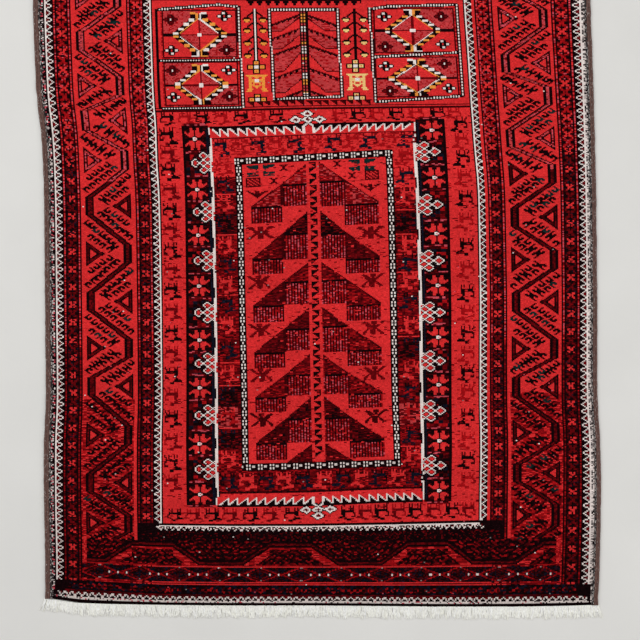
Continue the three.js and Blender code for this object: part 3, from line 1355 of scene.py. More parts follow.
@dataclass(frozen=True)
class HandPanel:
    """A panel of two quartered squares beside the niche's head, in beaded lines."""

    squares: tuple[HandSquare, ...]
    lines: tuple[tuple[tuple[float, float], tuple[float, float]], ...]
    pale_blossoms: tuple[tuple[float, float], ...]
    dull_blossoms: tuple[tuple[float, float], ...]
    flip: bool

    def knot(self, chart: KnotChart) -> None:
        """Knot the squares, their blossoms and the lines around them.

        Args:
            chart: The chart to fill.
        """
        for square in self.squares:
            self.square(chart, square)
        pale = {"k": BLACK, "w": IVORY, "r": RED}
        dull = {"k": EARTH, "w": MAROON, "r": IVORY}
        for places, dyes in ((self.pale_blossoms, pale), (self.dull_blossoms, dull)):
            for x, y in places:
                chart.stamp(BLOSSOM, x - 5.5, y - 5, dyes)
        for start, end in self.lines:
            beaded_line(chart, start, end)

    def square(self, chart: KnotChart, square: HandSquare) -> None:
        """Knot one quartered square with its stepped diamond and hooked tips.

        The diamond's side is a stair of four blocks. Inside it runs a line where the columns
        off the middle are 15.5 less the rows off it, and a hooked bar stands on each tip.

        Args:
            chart: The chart to fill.
            square: Its sizes.
        """
        x, y = chart.x - square.x, chart.y - square.y
        ax, ay = np.abs(x), np.abs(y) * 20.5 / square.half_height
        dull = x * y * (-1.0 if self.flip else 1.0) < 0
        outer = chart.area(square.left - 2, square.right + 2, square.low - 2, square.high + 2)
        chart.heather(outer, CRIMSON, RED, CRIMSON)
        frame = chart.area(square.left - 1, square.right + 1, square.low - 1, square.high + 1)
        chart.lay(frame, EARTH)
        inside = chart.area(square.left, square.right, square.low, square.high)
        chart.lay(inside, RED)
        rusts = (RUST, RUST, CRIMSON, RUST)
        chart.heather(inside & dull, *rusts)
        chart.lay(inside & (ax > 14) & (np.abs(y) < 1.1), BLACK)
        heart = inside & (ax < 15 - 0.98 * ay)
        chart.lay(heart, RED)
        chart.heather(heart & ~dull, *rusts)
        chart.lay(heart & ((ax < 0.55) | (np.abs(y) < 0.6)), MAROON)
        stair = inside & (ax > 14.6 - 0.98 * ay) & (ax < 21.5 - 0.98 * ay) & (ay < 17)
        chart.lay(stair, BLACK)
        light, line = np.zeros(stair.shape, bool), np.abs(ax - 15.5 + 0.98 * ay) < 0.62
        line &= (ay > 1.2) & (ay < 15.6)
        for k in range(4):
            across = (ax > 15.5 - 4.1 * k) & (ax < 19.5 - 4.1 * k)
            light |= across & (ay > 4.2 * k) & (ay < 2.7 + 4.2 * k)
        line |= (ax > 0.4) & (ax < 2) & (ay > 15.5) & (ay < 21)
        line |= (ax >= 2) & (ax < 6) & (ay > 19.8) & (ay < 22)
        chart.lay(inside & (ax > 2) & (ax < 6.4) & (ay > 16.6) & (ay < 19.8), BLACK)
        chart.lay(inside & (ax < 3) & (ay > 15.5) & (ay < 20), BLACK)
        chart.lay(inside & light & dull, IVORY)
        chart.lay(inside & light & ~dull, ORANGE)
        chart.lay(inside & line & dull, ORANGE)
        chart.lay(inside & line & ~dull, IVORY)
        chart.lay((ax < 1.6) & (np.abs(y) < 1.6), IVORY)


LEFT_PANEL = HandPanel(
    squares=(HandSquare(82.5, 135, 524, 567, 109.3, 544.5, 20.5),
             HandSquare(82.5, 135, 479, 518, 109.3, 497, 19.0)),
    lines=(((79, 475.5), (138, 475.5)), ((79, 520.5), (138, 520.5)),
           ((79, 568.5), (124, 573)), ((124, 573), (139, 570.5)),
           ((78.0, 475), (78.0, 569)), ((138.5, 475), (137.5, 571))),
    pale_blossoms=((127.5, 562), (88.5, 530), (129, 510.5), (88.5, 486)),
    dull_blossoms=((88.5, 559), (128.5, 530), (88.5, 511), (129, 486)),
    flip=False,
)

RIGHT_PANEL = HandPanel(
    squares=(HandSquare(231, 286, 527, 568, 257, 547.5, 20.0),
             HandSquare(231, 286, 484, 521, 258.3, 501, 18.0)),
    lines=(((229, 478.5), (290, 483.5)), ((228.5, 522), (289, 526)),
           ((227, 568), (240, 571)), ((240, 571), (290, 572.5)),
           ((229.5, 478), (227.5, 570)), ((289.3, 483), (289.3, 573))),
    pale_blossoms=((238, 561), (278, 534), (238, 513), (279, 491)),
    dull_blossoms=((278, 561), (238, 532), (278, 515), (239, 489)),
    flip=True,
)


@dataclass(frozen=True)
class NicheHead:
    """The niche's head between the hand panels: a leafy panel, a pole each side, and lines."""

    band_left: int = 75
    band_right: int = 294
    left: float = 159.2
    right: float = 205.8
    low: float = 482.5
    high: float = 568.0
    stem: float = 181.5
    tops: tuple[float, ...] = (563, 549.5, 534, 511.5, 490)
    shelves: tuple[tuple[float, float], ...] = ((560, 547), (543.5, 530), (526, 508), (501, 487.5))
    pale_dashes: tuple[tuple[int, int], ...] = ((484, 488), (501, 508), (526, 533), (547, 553))
    poles: tuple[tuple[float, Dye], ...] = ((148.5, ORANGE), (217.0, STRAW))
    pole_rows: tuple[float, float] = (519.5, 569)
    bud_rows: tuple[float, ...] = (558.5, 548.5, 536.0, 524.5)

    def knot(self, chart: KnotChart) -> None:
        """Knot the lines, the panel and the poles.

        Args:
            chart: The chart to fill.
        """
        chart.block(self.band_left, self.band_right, 472, 594, RED)
        self.rows_of_triangles(chart)
        self.leaves(chart)
        for column, petal in self.poles:
            self.pole(chart, column, petal)

    def rows_of_triangles(self, chart: KnotChart) -> None:
        """Knot the dark lines and the rows of small triangles below and above the panels.

        A triangle hangs from its line where the rows below it are under a share of the pitch.

        Args:
            chart: The chart to fill.
        """
        left, right = self.band_left, self.band_right
        chart.block(left, right, 472.4, 473.6, EARTH)
        chart.heather(chart.area(left, right, 475, 476), MAROON, EARTH, run=(1, 3))
        share = ((chart.x - 157.3) / 5.7) % 1
        small = chart.area(140, 227, 476, 481) & (481 - chart.y < 5.2 * share)
        chart.lay(small, EARTH)
        off = np.abs(chart.x - self.stem)
        share = 1 - np.abs(2 * (((off - 2.5) / 6.0) % 1) - 1)
        large = chart.area(143, 222, 571, 577) & (577 - chart.y < 6.4 * share)
        chart.lay(large, BLACK)
        chart.block(left, right, 577, 578, EARTH)
        chart.heather(chart.area(left, right, 580, 581), MAROON, CRIMSON, run=(1, 4))

    def leaves(self, chart: KnotChart) -> None:
        """Knot the niche's panel: drooping leaves with toothed backs on a dashed stem.

        A leaf's back falls half a row a column, less a sawtooth. Its underside falls a row a
        column for a dozen columns and then runs level.

        Args:
            chart: The chart to fill.
        """
        panel = chart.area(self.left, self.right, self.low, self.high)
        chart.lay(panel, RED)
        away = np.abs(chart.x - self.stem) - 2.5
        y = chart.y
        saw = 3.0 * ((away / 4.0) % 1)
        for i, top in enumerate(self.tops):
            back = top - 0.5 * away
            start, level = self.shelves[i] if i < 4 else (480, 470)
            under = start - np.minimum(away * (start - level) / 12, start - level)
            leaf = panel & (away > 0) & (y < back) & (y > under)
            chart.heather(leaf, RUST, RUST, RUST, CRIMSON, run=(1, 2))
            chart.lay(leaf & (y > back - saw), BLACK)
            chart.lay(leaf & (y < under + 1.3), EARTH)
            tooth = panel & (away > 0) & (y >= back) & (y < back + 0.9)
            chart.heather(tooth, MAROON, EARTH)
        stem = chart.area(self.stem - 2.6, self.stem + 3.4, self.low, self.high)
        chart.lay(stem, BLACK)
        dashes = stem & (np.abs(np.abs(chart.x - self.stem) - 1.0) < 0.6) & (chart.row % 3 > 0)
        chart.heather(dashes, RUST, ORANGE, RUST, run=(3, 5))
        for low, high in self.pale_dashes:
            chart.lay(dashes & (y > low) & (y < high), IVORY)
        for row, slope in ((self.low, 1.5), (self.high, 0.0)):
            beaded_line(chart, (self.left, row), (self.right, row + slope))
        beaded_line(chart, (self.left + 0.8, self.low - 1), (self.left - 0.9, self.high + 1))
        beaded_line(chart, (self.right + 0.6, self.low), (self.right - 0.4, self.high + 1))

    def pole(self, chart: KnotChart, column: float, petal: Dye) -> None:
        """Knot one pole: a white stem, four pairs of buds, and three figures below.

        Args:
            chart: The chart to fill.
            column: Its middle column.
            petal: The yarn of its figures.
        """
        for half, dye in ((1.5, BLACK), (0.5, IVORY)):
            chart.block(column - half, column + half, *self.pole_rows, dye)
        for row in self.bud_rows:
            for side in (-1, 1):
                chart.stroke(0.7, BLACK, (column + side, row + 7.5), (column + side * 5, row + 3))
                dyes = {"k": BLACK, "o": petal}
                chart.stamp(BUD, column + side * 5.5 - 3, row - 2.5, dyes)
        dyes = {"k": BLACK, "o": petal, "w": IVORY, "r": RED}
        chart.stamp(POLE_FLOWER, column - 6.5, 507, dyes)
        chart.stamp(COMB_FIGURE, column - 7.5, 490, dyes)
        chart.stamp(Motif(POLE_FLOWER.rows[:3] + POLE_FLOWER.rows[4:8]), column - 6.5, 481, dyes)


@dataclass(frozen=True)
class EndBorder:
    """The dark border across the lower end, which the upper end repeats upside down."""

    top: int = 79
    left: float = 19.5
    right: float = 349.5
    inner_left: int = 57
    inner_right: int = 312
    low: int = 38
    high: int = 62
    meander_period: float = 95.0
    meander_start: float = 50.0
    dot_pitch: float = 27.8
    hook_step: float = 5.8

    def knot(self, chart: KnotChart) -> None:
        """Knot the border's stripes, and copy them to the upper end.

        Args:
            chart: The chart to fill.
        """
        chart.block(self.inner_left, self.inner_right, 60, self.top, BLACK)
        seam = chart.area(self.inner_left, self.inner_right, 60, 61)
        chart.heather(seam, CRIMSON, EARTH, MAROON, run=(1, 5))
        chart.heather(chart.area(58, 309, 62, 71), EARTH, MAROON, share=0.22)
        white = chart.area(70, 298, 72, 76)
        chart.zigzag(76 - chart.y, chart.x, white, 4, 4.3, 0.7)
        chart.block(72, 295, 76, 77, IVORY)
        chart.heather(chart.area(72, 295, 75, 76), IVORY, BLACK)
        self.meander(chart)
        self.dots(chart)
        self.edge(chart)
        chart.dyes[ROWS - self.top :] = chart.dyes[: self.top][::-1]

    def edge(self, chart: KnotChart) -> None:
        """Knot the outermost stripes: black skirt, white arches and a dim guard.

        Args:
            chart: The chart to fill.
        """
        chart.block(0, 370, 0, 20, BLACK)
        chart.block(-EDGING, COLUMNS, 0, 3, BLACK)
        strip = chart.area(2, 368, 5, 9)
        chart.zigzag(9 - chart.y, chart.x, strip, 4, 4.7, 0.85)
        chart.block(1, 369, 3, 5, IVORY)
        chart.heather(chart.area(0, 370, 3, 5), BLACK, GREY, ROSE, share=0.25)
        chart.heather(chart.area(7, 362, 9, 11), MAROON, EARTH, EARTH, run=(1, 4))
        guard = chart.area(9, 361, 11, 20)
        chart.heather(guard, NAVY, BLACK, BLACK, run=(2, 2))
        across = np.abs(((chart.x - 14) / 8.3) % 1 - 0.5) * 8.3
        crossed = np.abs(np.abs(chart.y - 15.0) - np.abs(across - 2.0)) < 0.8
        chart.heather(guard & crossed & (across < 4.5), MAROON, EARTH, CRIMSON, run=(2, 2), share=0.7)
        line = chart.area(17, 352, 20.5, 22.5)
        chart.heather(line, MAROON, EARTH, MAROON, CRIMSON, run=(1, 5))
        chart.block(17, 40, 20.5, 22.0, CRIMSON)

    def meander(self, chart: KnotChart) -> None:
        """Knot the flat meander: a dark line of three threads with a bright one inside.

        Its middle row is a clipped triangle wave of the column.

        Args:
            chart: The chart to fill.
        """
        ground = chart.area(self.left, self.right, self.low, self.high)
        chart.heather(ground, MAROON, EARTH, CRIMSON, EARTH, run=(1, 2))
        self.meander_hooks(chart)
        wave = np.abs(2 * self.phase(chart.x) - 1) * 4 - 2
        level = np.clip(wave * 1.25, -1, 1)
        middle = 50.0 + 9.0 * level
        off = chart.y - middle
        slant = np.abs(level) < 1
        inner = ground & (off < -3.2) & (off > -5.4 - 5.0 * slant) & (level > -0.8)
        chart.heather(inner, CRIMSON, RED, CRIMSON, MAROON, run=(1, 4))
        vine = ground & (np.abs(off) < 3.2)
        chart.lay(vine, BLACK)
        chart.heather(vine & (np.abs(off) < 1.0), MAROON, EARTH, run=(1, 2))
        for left, right in ((self.left, 22), (347, self.right)):
            chart.heather(chart.area(left, right, self.low, self.high), CRIMSON, RED)
        chart.heather(chart.area(self.left, self.right, 37.5, 39), CRIMSON, MAROON, run=(1, 6))

    def phase(self, x: float | np.ndarray) -> float | np.ndarray:
        """The share of the meander's wave that is done at a column."""
        return ((x - self.meander_start - 17.5) / self.meander_period) % 1

    def meander_hooks(self, chart: KnotChart) -> None:
        """Knot slanted rows of dark hooks over the ground, which face as the meander slants.

        Args:
            chart: The chart to fill.
        """
        dyes = {"k": BLACK, "m": BLACK}
        for column in np.arange(self.left, self.right - self.hook_step, self.hook_step):
            motif = HOOK if self.phase(column) < 0.5 else HOOK.mirrored()
            for k in range(4):
                low = self.low + self.hook_step * k + 1.6 * (column // self.hook_step % 2)
                chart.stamp(motif, column + 2.0 * (k % 2), low, dyes)

    def dots(self, chart: KnotChart) -> None:
        """Knot the dark stripe of dim hexagons with white dots.

        Args:
            chart: The chart to fill.
        """
        stripe = chart.area(self.left - 1, self.right + 1, 22.5, 37.5)
        chart.heather(stripe, BLACK, EARTH, BLACK, NAVY)
        pitch = self.dot_pitch
        phase = np.abs(((chart.x - 30.5) / pitch) % 1 - 0.5) * pitch
        slope = np.abs(chart.y - 30.0) + 0.55 * (pitch / 2 - phase)
        chart.heather(stripe & (np.abs(slope - 7.2) < 0.8), MAROON, CRIMSON)
        chart.heather(stripe & (np.abs(slope - 4.6) < 0.6), EARTH, MAROON)
        for k in range(12):
            joint = 31.0 + pitch * k
            for row in (24.5, 36.5):
                chart.block(joint - 0.6, joint + 0.6, row - 1, row + 1, GREY)
            for dot in (-6.2, 0.0, 6.2):
                at = joint + pitch / 2 + dot - 1.2
                if at < self.right - 4:
                    chart.block(at - 0.6, at + 1.6, 28.8, 31.4, CRIMSON)
                    chart.block(at - 0.6, at + 0.6, 29.4, 31.4, IVORY)


LEFT_VINE = turns((42, 78, 119, 165, 212, 249, 294, 340, 386, 430, 465, 497, 539, 580, 622), False)
RIGHT_VINE = turns((42, 83, 123, 162, 205, 241, 285, 325, 365, 406, 440, 483, 515, 559, 600), False)
LEFT_STARS = StarBand(92, 112, 112, False, 101.5, 107.1, (108, 157, 211, 257, 309, 358, 402, 449),
                      (132, 184, 234, 283, 333, 380, 427))
RIGHT_STARS = StarBand(255, 274, 253, True, 265.3, 260.0, (106, 155, 208, 253, 302, 351, 404, 450),
                       (131, 183, 230, 276, 325, 378, 428))


def knot_pattern() -> KnotChart:
    """Knot the whole pattern, from the borders inwards.

    Returns:
        The finished chart.
    """
    chart = KnotChart()
    MainBorder(19, 57, 25.3, 51.0, LEFT_VINE).knot(chart)
    MainBorder(314, 352, 320.0, 346.0, RIGHT_VINE).knot(chart)
    GuardStripes().knot(chart)
    BeastBand().knot(chart)
    NicheHead().knot(chart)
    LEFT_PANEL.knot(chart)
    RIGHT_PANEL.knot(chart)
    LEFT_STARS.knot(chart)
    RIGHT_STARS.knot(chart)
    InnerBand().knot(chart)
    TreeField().knot(chart)
    EndBorder().knot(chart)
    flecks = chart.chance.random(chart.dyes.shape) < 0.0009
    chart.heather(flecks & chart.area(19, 350, 10, ROWS - 10), IVORY, GREY, ROSE)
    return chart


def dye_colours(chart: KnotChart) -> np.ndarray:
    """Give each knot its own shade.

    A knot's light is its lot's light, times a chance share of its own, times a slow change from
    row to row as one dye bath follows another, and duller towards the lower end.

    Args:
        chart: The finished chart.

    Returns:
        Rows by columns by four channels of linear colour.
    """
    chance = np.random.default_rng(SEED + 1)
    base = np.array([linear(DYE_LOTS[dye].colour) for dye in Dye])
    spread = np.array([DYE_LOTS[dye].spread for dye in Dye])
    shape = chart.dyes.shape
    knot = chance.normal(0, 1, shape) * spread[chart.dyes]
    bath = np.repeat(chance.normal(0, 0.05, ROWS // 6 + 1), 6)[:ROWS]
    bath = np.convolve(np.pad(bath, 4, "edge"), np.ones(9) / 9, "valid")[:, None]
    dull = np.interp(np.arange(ROWS), (0, 40, 85, 200, 400, ROWS), (0.78, 0.80, 0.93, 0.97, 1, 1))
    light = np.exp(knot + bath) * dull[:, None]
    colour = base[chart.dyes] * light[..., None]
    return np.concatenate([np.clip(colour, 0.0008, 0.92), np.ones(shape + (1,))], 2)


@dataclass(frozen=True)
class RowDrift:
    """How far a row of knots lies above its even place, at stations across, in metres."""

    row: float
    drift: tuple[float, ...]


DRIFT_COLUMNS = (-2.0, 73.0, 124.0, 176.0, 231.0, 293.0, 371.0)
ROW_DRIFTS = (
    RowDrift(75, (0.0050, 0.0000, -0.0016, -0.0016, 0.0000, 0.0033, 0.0033)),
    RowDrift(96, (-0.0016, -0.0025, -0.0016, 0.0000, 0.0066, 0.0099, 0.0099)),
    RowDrift(134, (-0.0033, -0.0033, -0.0033, 0.0000, 0.0041, 0.0049, 0.0049)),
    RowDrift(434, (-0.0099, -0.0099, -0.0082, -0.0008, 0.0066, 0.0099, 0.0115)),
    RowDrift(470, (-0.0033, -0.0033, -0.0016, 0.0016, 0.0033, 0.0050, 0.0066)),
    RowDrift(587, (0.0, 0.0, 0.0, 0.0, 0.0, 0.0, 0.0)),
)


@dataclass(frozen=True)
class ColumnSway:
    """How far the columns of knots lie to the right of their even place, in millimetres."""

    row: float
    sway: tuple[float, ...]


SWAY_COLUMNS = (-2.0, 73.0, 91.0, 109.0, 128.0, 179.0, 232.0, 251.0, 273.0, 295.0, 307.0,
                338.0, 357.0, 371.0)
COLUMN_SWAYS = (
    ColumnSway(101, (0, 0, -2.0, -2.0, -1.0, 0, 0, -2.0, -3.0, -6.7, -6.7, -4.1, -4.4, 0)),
    ColumnSway(196, (0, 0, -3.4, -3.6, -4.3, -2.5, -3.6, -1.5, 1.0, -2.9, -3.0, -1.7, -1.5, 0)),
    ColumnSway(291, (0, 0, -2.7, -3.6, -7.1, -5.0, -5.9, -2.6, 1.3, -1.8, -2.5, -1.0, -0.4, 0)),
    ColumnSway(396, (0, -1.5, -2.6, -5.9, -9.3, -6.6, -8.3, -6.6, -1.5, -3.3, -4.5, -2.1, -0.9, 0)),
    ColumnSway(434, (0, -4.5, -3.3, -7.1, -10.7, -7.4, -9.6, -9.0, -3.6, -8.2, -8.9, -4.3, -1.8, 0)),
    ColumnSway(472, (0, -1.0, -3.3, -7.1, -9.9, -8.3, -9.6, -7.6, -5.0, -9.8, -10.7, -5.6, -3.3, 0)),
    ColumnSway(544, (0, 0, -3.3, -6.6, -8.3, -8.3, -9.1, -9.9, -10.6, -13.5, -14.4, -9.0, -6.3, 0)),
    ColumnSway(578, (0, 0, -3.3, -6.6, -8.3, -8.3, -9.1, -9.9, -11.2, -15.9, -16.7, -10.4, -6.9, 0)),
)


def table_field(row_stations: np.ndarray, column_stations: np.ndarray, values: np.ndarray,
                rows: np.ndarray, columns: np.ndarray, blend: int) -> np.ndarray:
    """Read a table of stations at every row and column, with its corners rounded off.

    Args:
        row_stations: Rows of the table.
        column_stations: Columns of the table.
        values: The table.
        rows: Rows to read at.
        columns: Columns to read at.
        blend: Rows over which the corners are rounded.

    Returns:
        One value for each row and column.
    """
    down = np.array([np.interp(rows, row_stations, line) for line in values.T]).T
    full = np.array([np.interp(columns, column_stations, line) for line in down])
    padded = np.pad(full, ((blend, blend), (0, 0)), "edge")
    total = np.cumsum(np.vstack([np.zeros((1, full.shape[1])), padded]), 0)
    return (total[2 * blend + 1 :] - total[: -2 * blend - 1]) / (2 * blend + 1)


@dataclass
class Outline:
    """The carpet's rim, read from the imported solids.

    Each side is a list of places along the rug with the selvedge's least and greatest x, and
    each end is a list of places across the carpet with how far up the end lies there.
    """

    stations: int = 18
    left: np.ndarray = field(init=False)
    right: np.ndarray = field(init=False)
    low_end: np.ndarray = field(init=False)
    high_end: np.ndarray = field(init=False)

    def __post_init__(self) -> None:
        """Read the sides from the selvedges and the ends from the carpet."""
        self.left = self.side("selvedge_left")
        self.right = self.side("selvedge_right")
        points = node_points("carpet")
        foot = points[points[:, 2] < 1e-4]
        low_x = np.interp(foot[:, 1], self.left[:, 0], self.left[:, 2])
        high_x = np.interp(foot[:, 1], self.right[:, 0], self.right[:, 1])
        share = (foot[:, 0] - low_x) / (high_x - low_x)
        station = np.clip(np.rint(share * self.stations), 0, self.stations).astype(int)
        low = np.full(self.stations + 1, np.inf)
        high = np.full(self.stations + 1, -np.inf)
        np.minimum.at(low, station, foot[:, 1])
        np.maximum.at(high, station, foot[:, 1])
        self.low_end, self.high_end = low, high

    @staticmethod
    def side(node: str) -> np.ndarray:
        """Read one selvedge: place along, least x and greatest x, a row for each step.

        Args:
            node: The selvedge's node.

        Returns:
            The rows, sorted along the rug.
        """
        points = node_points(node)
        along, group = np.unique(np.round(points[:, 1], 6), return_inverse=True)
        least = np.full(len(along), np.inf)
        most = np.full(len(along), -np.inf)
        np.minimum.at(least, group.ravel(), points[:, 0])
        np.maximum.at(most, group.ravel(), points[:, 0])
        return np.stack([along, least, most], 1)

    def low_at(self, share: np.ndarray) -> np.ndarray:
        """The lower end's place at a share across the carpet."""
        return np.interp(share, np.linspace(0, 1, self.stations + 1), self.low_end)

    def high_at(self, share: np.ndarray) -> np.ndarray:
        """The upper end's place at a share across the carpet."""
        return np.interp(share, np.linspace(0, 1, self.stations + 1), self.high_end)

    def left_at(self, along: np.ndarray) -> np.ndarray:
        """The carpet's left edge at a place along the rug."""
        return np.interp(along, self.left[:, 0], self.left[:, 2])

    def right_at(self, along: np.ndarray) -> np.ndarray:
        """The carpet's right edge at a place along the rug."""
        return np.interp(along, self.right[:, 0], self.right[:, 1])


def node_points(node: str) -> np.ndarray:
    """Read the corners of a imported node's mesh.

    Args:
        node: Its name.

    Returns:
        Points by three coordinates, in metres.
    """
    mesh = frame["nodes"][node].data
    flat = np.zeros(len(mesh.vertices) * 3, np.float32)
    mesh.vertices.foreach_get("co", flat)
    return flat.reshape(-1, 3).astype(float)


@dataclass
class KnotGrid:
    """Where every corner between knots lies on the floor plan, and how high the pile stands."""

    outline: Outline
    pile: float = 0.0065
    ripple: float = 0.00045
    shoulder: float = 0.0046
    skirt: float = 0.0024
    skirt_rows: int = 2
    x: np.ndarray = field(init=False)
    y: np.ndarray = field(init=False)
    z: np.ndarray = field(init=False)

    def __post_init__(self) -> None:
        """Place the corners.

        Along the rug a corner is at its row's share of the length plus the row's drift. Across
        it is at its column's share between the two edges there plus the column's sway.
        """
        rows = np.arange(ROWS + 1.0)
        columns = np.arange(COLUMNS + 1.0) - EDGING
        share = (columns + EDGING) / COLUMNS
        low, high = self.outline.low_at(share), self.outline.high_at(share)
        half = (high.mean() - low.mean()) / 2
        centre = (high.mean() + low.mean()) / 2
        level = centre + half * (2 * rows / ROWS - 1)
        stations = np.array([0, *[item.row for item in ROW_DRIFTS], ROWS], float)
        table = np.array([item.drift for item in ROW_DRIFTS])
        at = (np.array(DRIFT_COLUMNS) + EDGING) / COLUMNS
        first = self.outline.low_at(at) - (centre - half)
        last = self.outline.high_at(at) - (centre + half)
        table = np.vstack([first, table, last])
        drift = table_field(stations, np.array(DRIFT_COLUMNS), table, rows, columns, 6)
        near_low = np.clip(1 - rows / 10, 0, 1)[:, None]
        near_high = np.clip(1 - (ROWS - rows) / 10, 0, 1)[:, None]
        drift = drift * (1 - near_low - near_high)
        drift += near_low * (low - (centre - half)) + near_high * (high - (centre + half))
        self.y = level[:, None] + drift
        sway_rows = np.array([item.row for item in COLUMN_SWAYS], float)
        sway_table = np.array([item.sway for item in COLUMN_SWAYS], float) / 1000
        sway = table_field(sway_rows, np.array(SWAY_COLUMNS), sway_table, rows, columns, 16)
        left, right = self.outline.left_at(self.y), self.outline.right_at(self.y)
        self.x = left + share * (right - left) + sway
        self.z = self.heights(rows)

    def heights(self, rows: np.ndarray) -> np.ndarray:
        """Work out how high the pile stands at each corner.

        Two crossing waves a hand's breadth apart swell the rug a little, as on the solid.

        Args:
            rows: Row numbers. Not used.

        Returns:
            Heights in metres.
        """
        x, y = self.x * 1000, self.y * 1000
        swell = 0.65 * np.sin(x / 96 + np.sin(y / 170)) * np.cos(y / 128 - x / 410)
        swell += 0.35 * np.sin(y / 61 + x / 230)
        height = self.pile + self.ripple * swell
        height[:, (0, -1)] = self.shoulder
        height[(self.skirt_rows, -self.skirt_rows - 1), :] = self.skirt
        height[: self.skirt_rows] = self.skirt
        height[-self.skirt_rows :] = self.skirt
        return height


class Nodes:
    """A short way to write a material's node tree."""

    def __init__(self, name: str) -> None:
        """Start a material with one Principled shader.

        Args:
            name: The material's name.
        """
        self.material = bpy.data.materials.new(name)
        self.material.use_nodes = True
        self.tree = self.material.node_tree
        self.shader = self.tree.nodes["Principled BSDF"]

    def add(self, kind: str, **values: object) -> bpy.types.Node:
        """Add a node and set its properties.

        Args:
            kind: Blender's node type.
            values: Properties to set.

        Returns:
            The node.
        """
        node = self.tree.nodes.new(kind)
        for key, value in values.items():
            setattr(node, key, value)
        return node

    def join(self, out: bpy.types.NodeSocket, into: bpy.types.NodeSocket) -> None:
        """Link one socket to another."""
        self.tree.links.new(out, into)

    def noise(self, scale: float, detail: float, stretch: tuple[float, float, float],
              ) -> bpy.types.NodeSocket:
        """Add noise on the object's own coordinates.

        Args:
            scale: Noise scale for each metre.
            detail: Octaves.
            stretch: Share of the scale on each axis.

        Returns:
            The noise's factor.
        """
        place = self.add("ShaderNodeTexCoord")
        mapping = self.add("ShaderNodeMapping")
        mapping.inputs["Scale"].default_value = stretch
        noise = self.add("ShaderNodeTexNoise")
        noise.inputs["Scale"].default_value = scale
        noise.inputs["Detail"].default_value = detail
        self.join(place.outputs["Object"], mapping.inputs["Vector"])
        self.join(mapping.outputs["Vector"], noise.inputs["Vector"])
        return noise.outputs["Fac"]

    def span(self, value: bpy.types.NodeSocket, low: float, high: float) -> bpy.types.NodeSocket:
        """Stretch the middle of a noise to a span of values.

        Args:
            value: The noise, from 0 to 1.
            low: Value for 0.3.
            high: Value for 0.7.

        Returns:
            The stretched value.
        """
        node = self.add("ShaderNodeMapRange")
        node.inputs["From Min"].default_value = 0.3
        node.inputs["From Max"].default_value = 0.7
        node.inputs["To Min"].default_value = low
        node.inputs["To Max"].default_value = high
        self.join(value, node.inputs["Value"])
        return node.outputs["Result"]

    def math(self, operation: str, a: bpy.types.NodeSocket | float,
             b: bpy.types.NodeSocket | float = 0.0) -> bpy.types.NodeSocket:
        """Add one sum.

        Args:
            operation: Blender's name for it.
            a: First value or socket.
            b: Second value or socket.

        Returns:
            The result.
        """
        node = self.add("ShaderNodeMath", operation=operation)
        for slot, value in zip(node.inputs, (a, b)):
            if isinstance(value, (int, float)):
                slot.default_value = value
            else:
                self.join(value, slot)
        return node.outputs[0]

    def shaded(self, colour: bpy.types.NodeSocket, light: bpy.types.NodeSocket) -> bpy.types.NodeSocket:
        """Multiply a colour by a light value.

        Args:
            colour: The colour.
            light: The share of its light.

        Returns:
            The product.
        """
        node = self.add("ShaderNodeVectorMath", operation="SCALE")
        self.join(colour, node.inputs[0])
        self.join(light, node.inputs["Scale"])
        return node.outputs[0]

    def bump(self, height: bpy.types.NodeSocket, distance: float, strength: float) -> None:
        """Raise the surface by a height value.

        Args:
            height: The height, from 0 to 1.
            distance: Metres for a height of 1.
            strength: Share of the effect.
        """
        node = self.add("ShaderNodeBump")
        node.inputs["Distance"].default_value = distance
        node.inputs["Strength"].default_value = strength
        self.join(height, node.inputs["Height"])
        self.join(node.outputs["Normal"], self.shader.inputs["Normal"])

    def set(self, name: str, value: object) -> None:
        """Set one of the shader's own values."""
        self.shader.inputs[name].default_value = value


@dataclass(frozen=True)
class Wool:
    """Knotted wool pile or its woven back: dyed yarn with soft, matt fibres."""

    name: str
    fibre_scale: float = 620.0
    tuft: float = 0.0007
    fuzz: float = 0.012
    dullness: float = 1.0

    def make(self) -> bpy.types.Material:
        """Build the material.

        The colour is the knot's own dye, mottled by fibres. The bump is a dome for each knot,
        from the sines of the two knot counts, under the fibres.

        Returns:
            The material.
        """
        nodes = Nodes(self.name)
        dye = nodes.add("ShaderNodeAttribute", attribute_name="dye")
        fibre = nodes.noise(self.fibre_scale, 3.0, (1.0, 0.6, 1.0))
        patch = nodes.noise(9.0, 2.0, (1.0, 1.0, 1.0))
        light = nodes.math("MULTIPLY", nodes.span(fibre, 0.90 * self.dullness, 1.10 * self.dullness),
                           nodes.span(patch, 0.95, 1.04))
        nodes.join(nodes.shaded(dye.outputs["Color"], light), nodes.shader.inputs["Base Color"])
        count = nodes.add("ShaderNodeUVMap", uv_map="Knots")
        split = nodes.add("ShaderNodeSeparateXYZ")
        nodes.join(count.outputs["UV"], split.inputs["Vector"])
        domes = [nodes.math("ABSOLUTE", nodes.math("SINE", nodes.math("MULTIPLY", axis, np.pi)))
                 for axis in (split.outputs["X"], split.outputs["Y"])]
        dome = nodes.math("POWER", nodes.math("MULTIPLY", domes[0], domes[1]), 0.5)
        height = nodes.math("ADD", dome, nodes.math("MULTIPLY", fibre, 1.2))
        nodes.bump(height, self.tuft, 0.55)
        nodes.join(nodes.span(fibre, 0.82, 0.98), nodes.shader.inputs["Roughness"])
        nodes.set("Specular IOR Level", 0.02)
        nodes.set("Sheen Weight", self.fuzz)
        nodes.set("Sheen Roughness", 0.5)
        return nodes.material


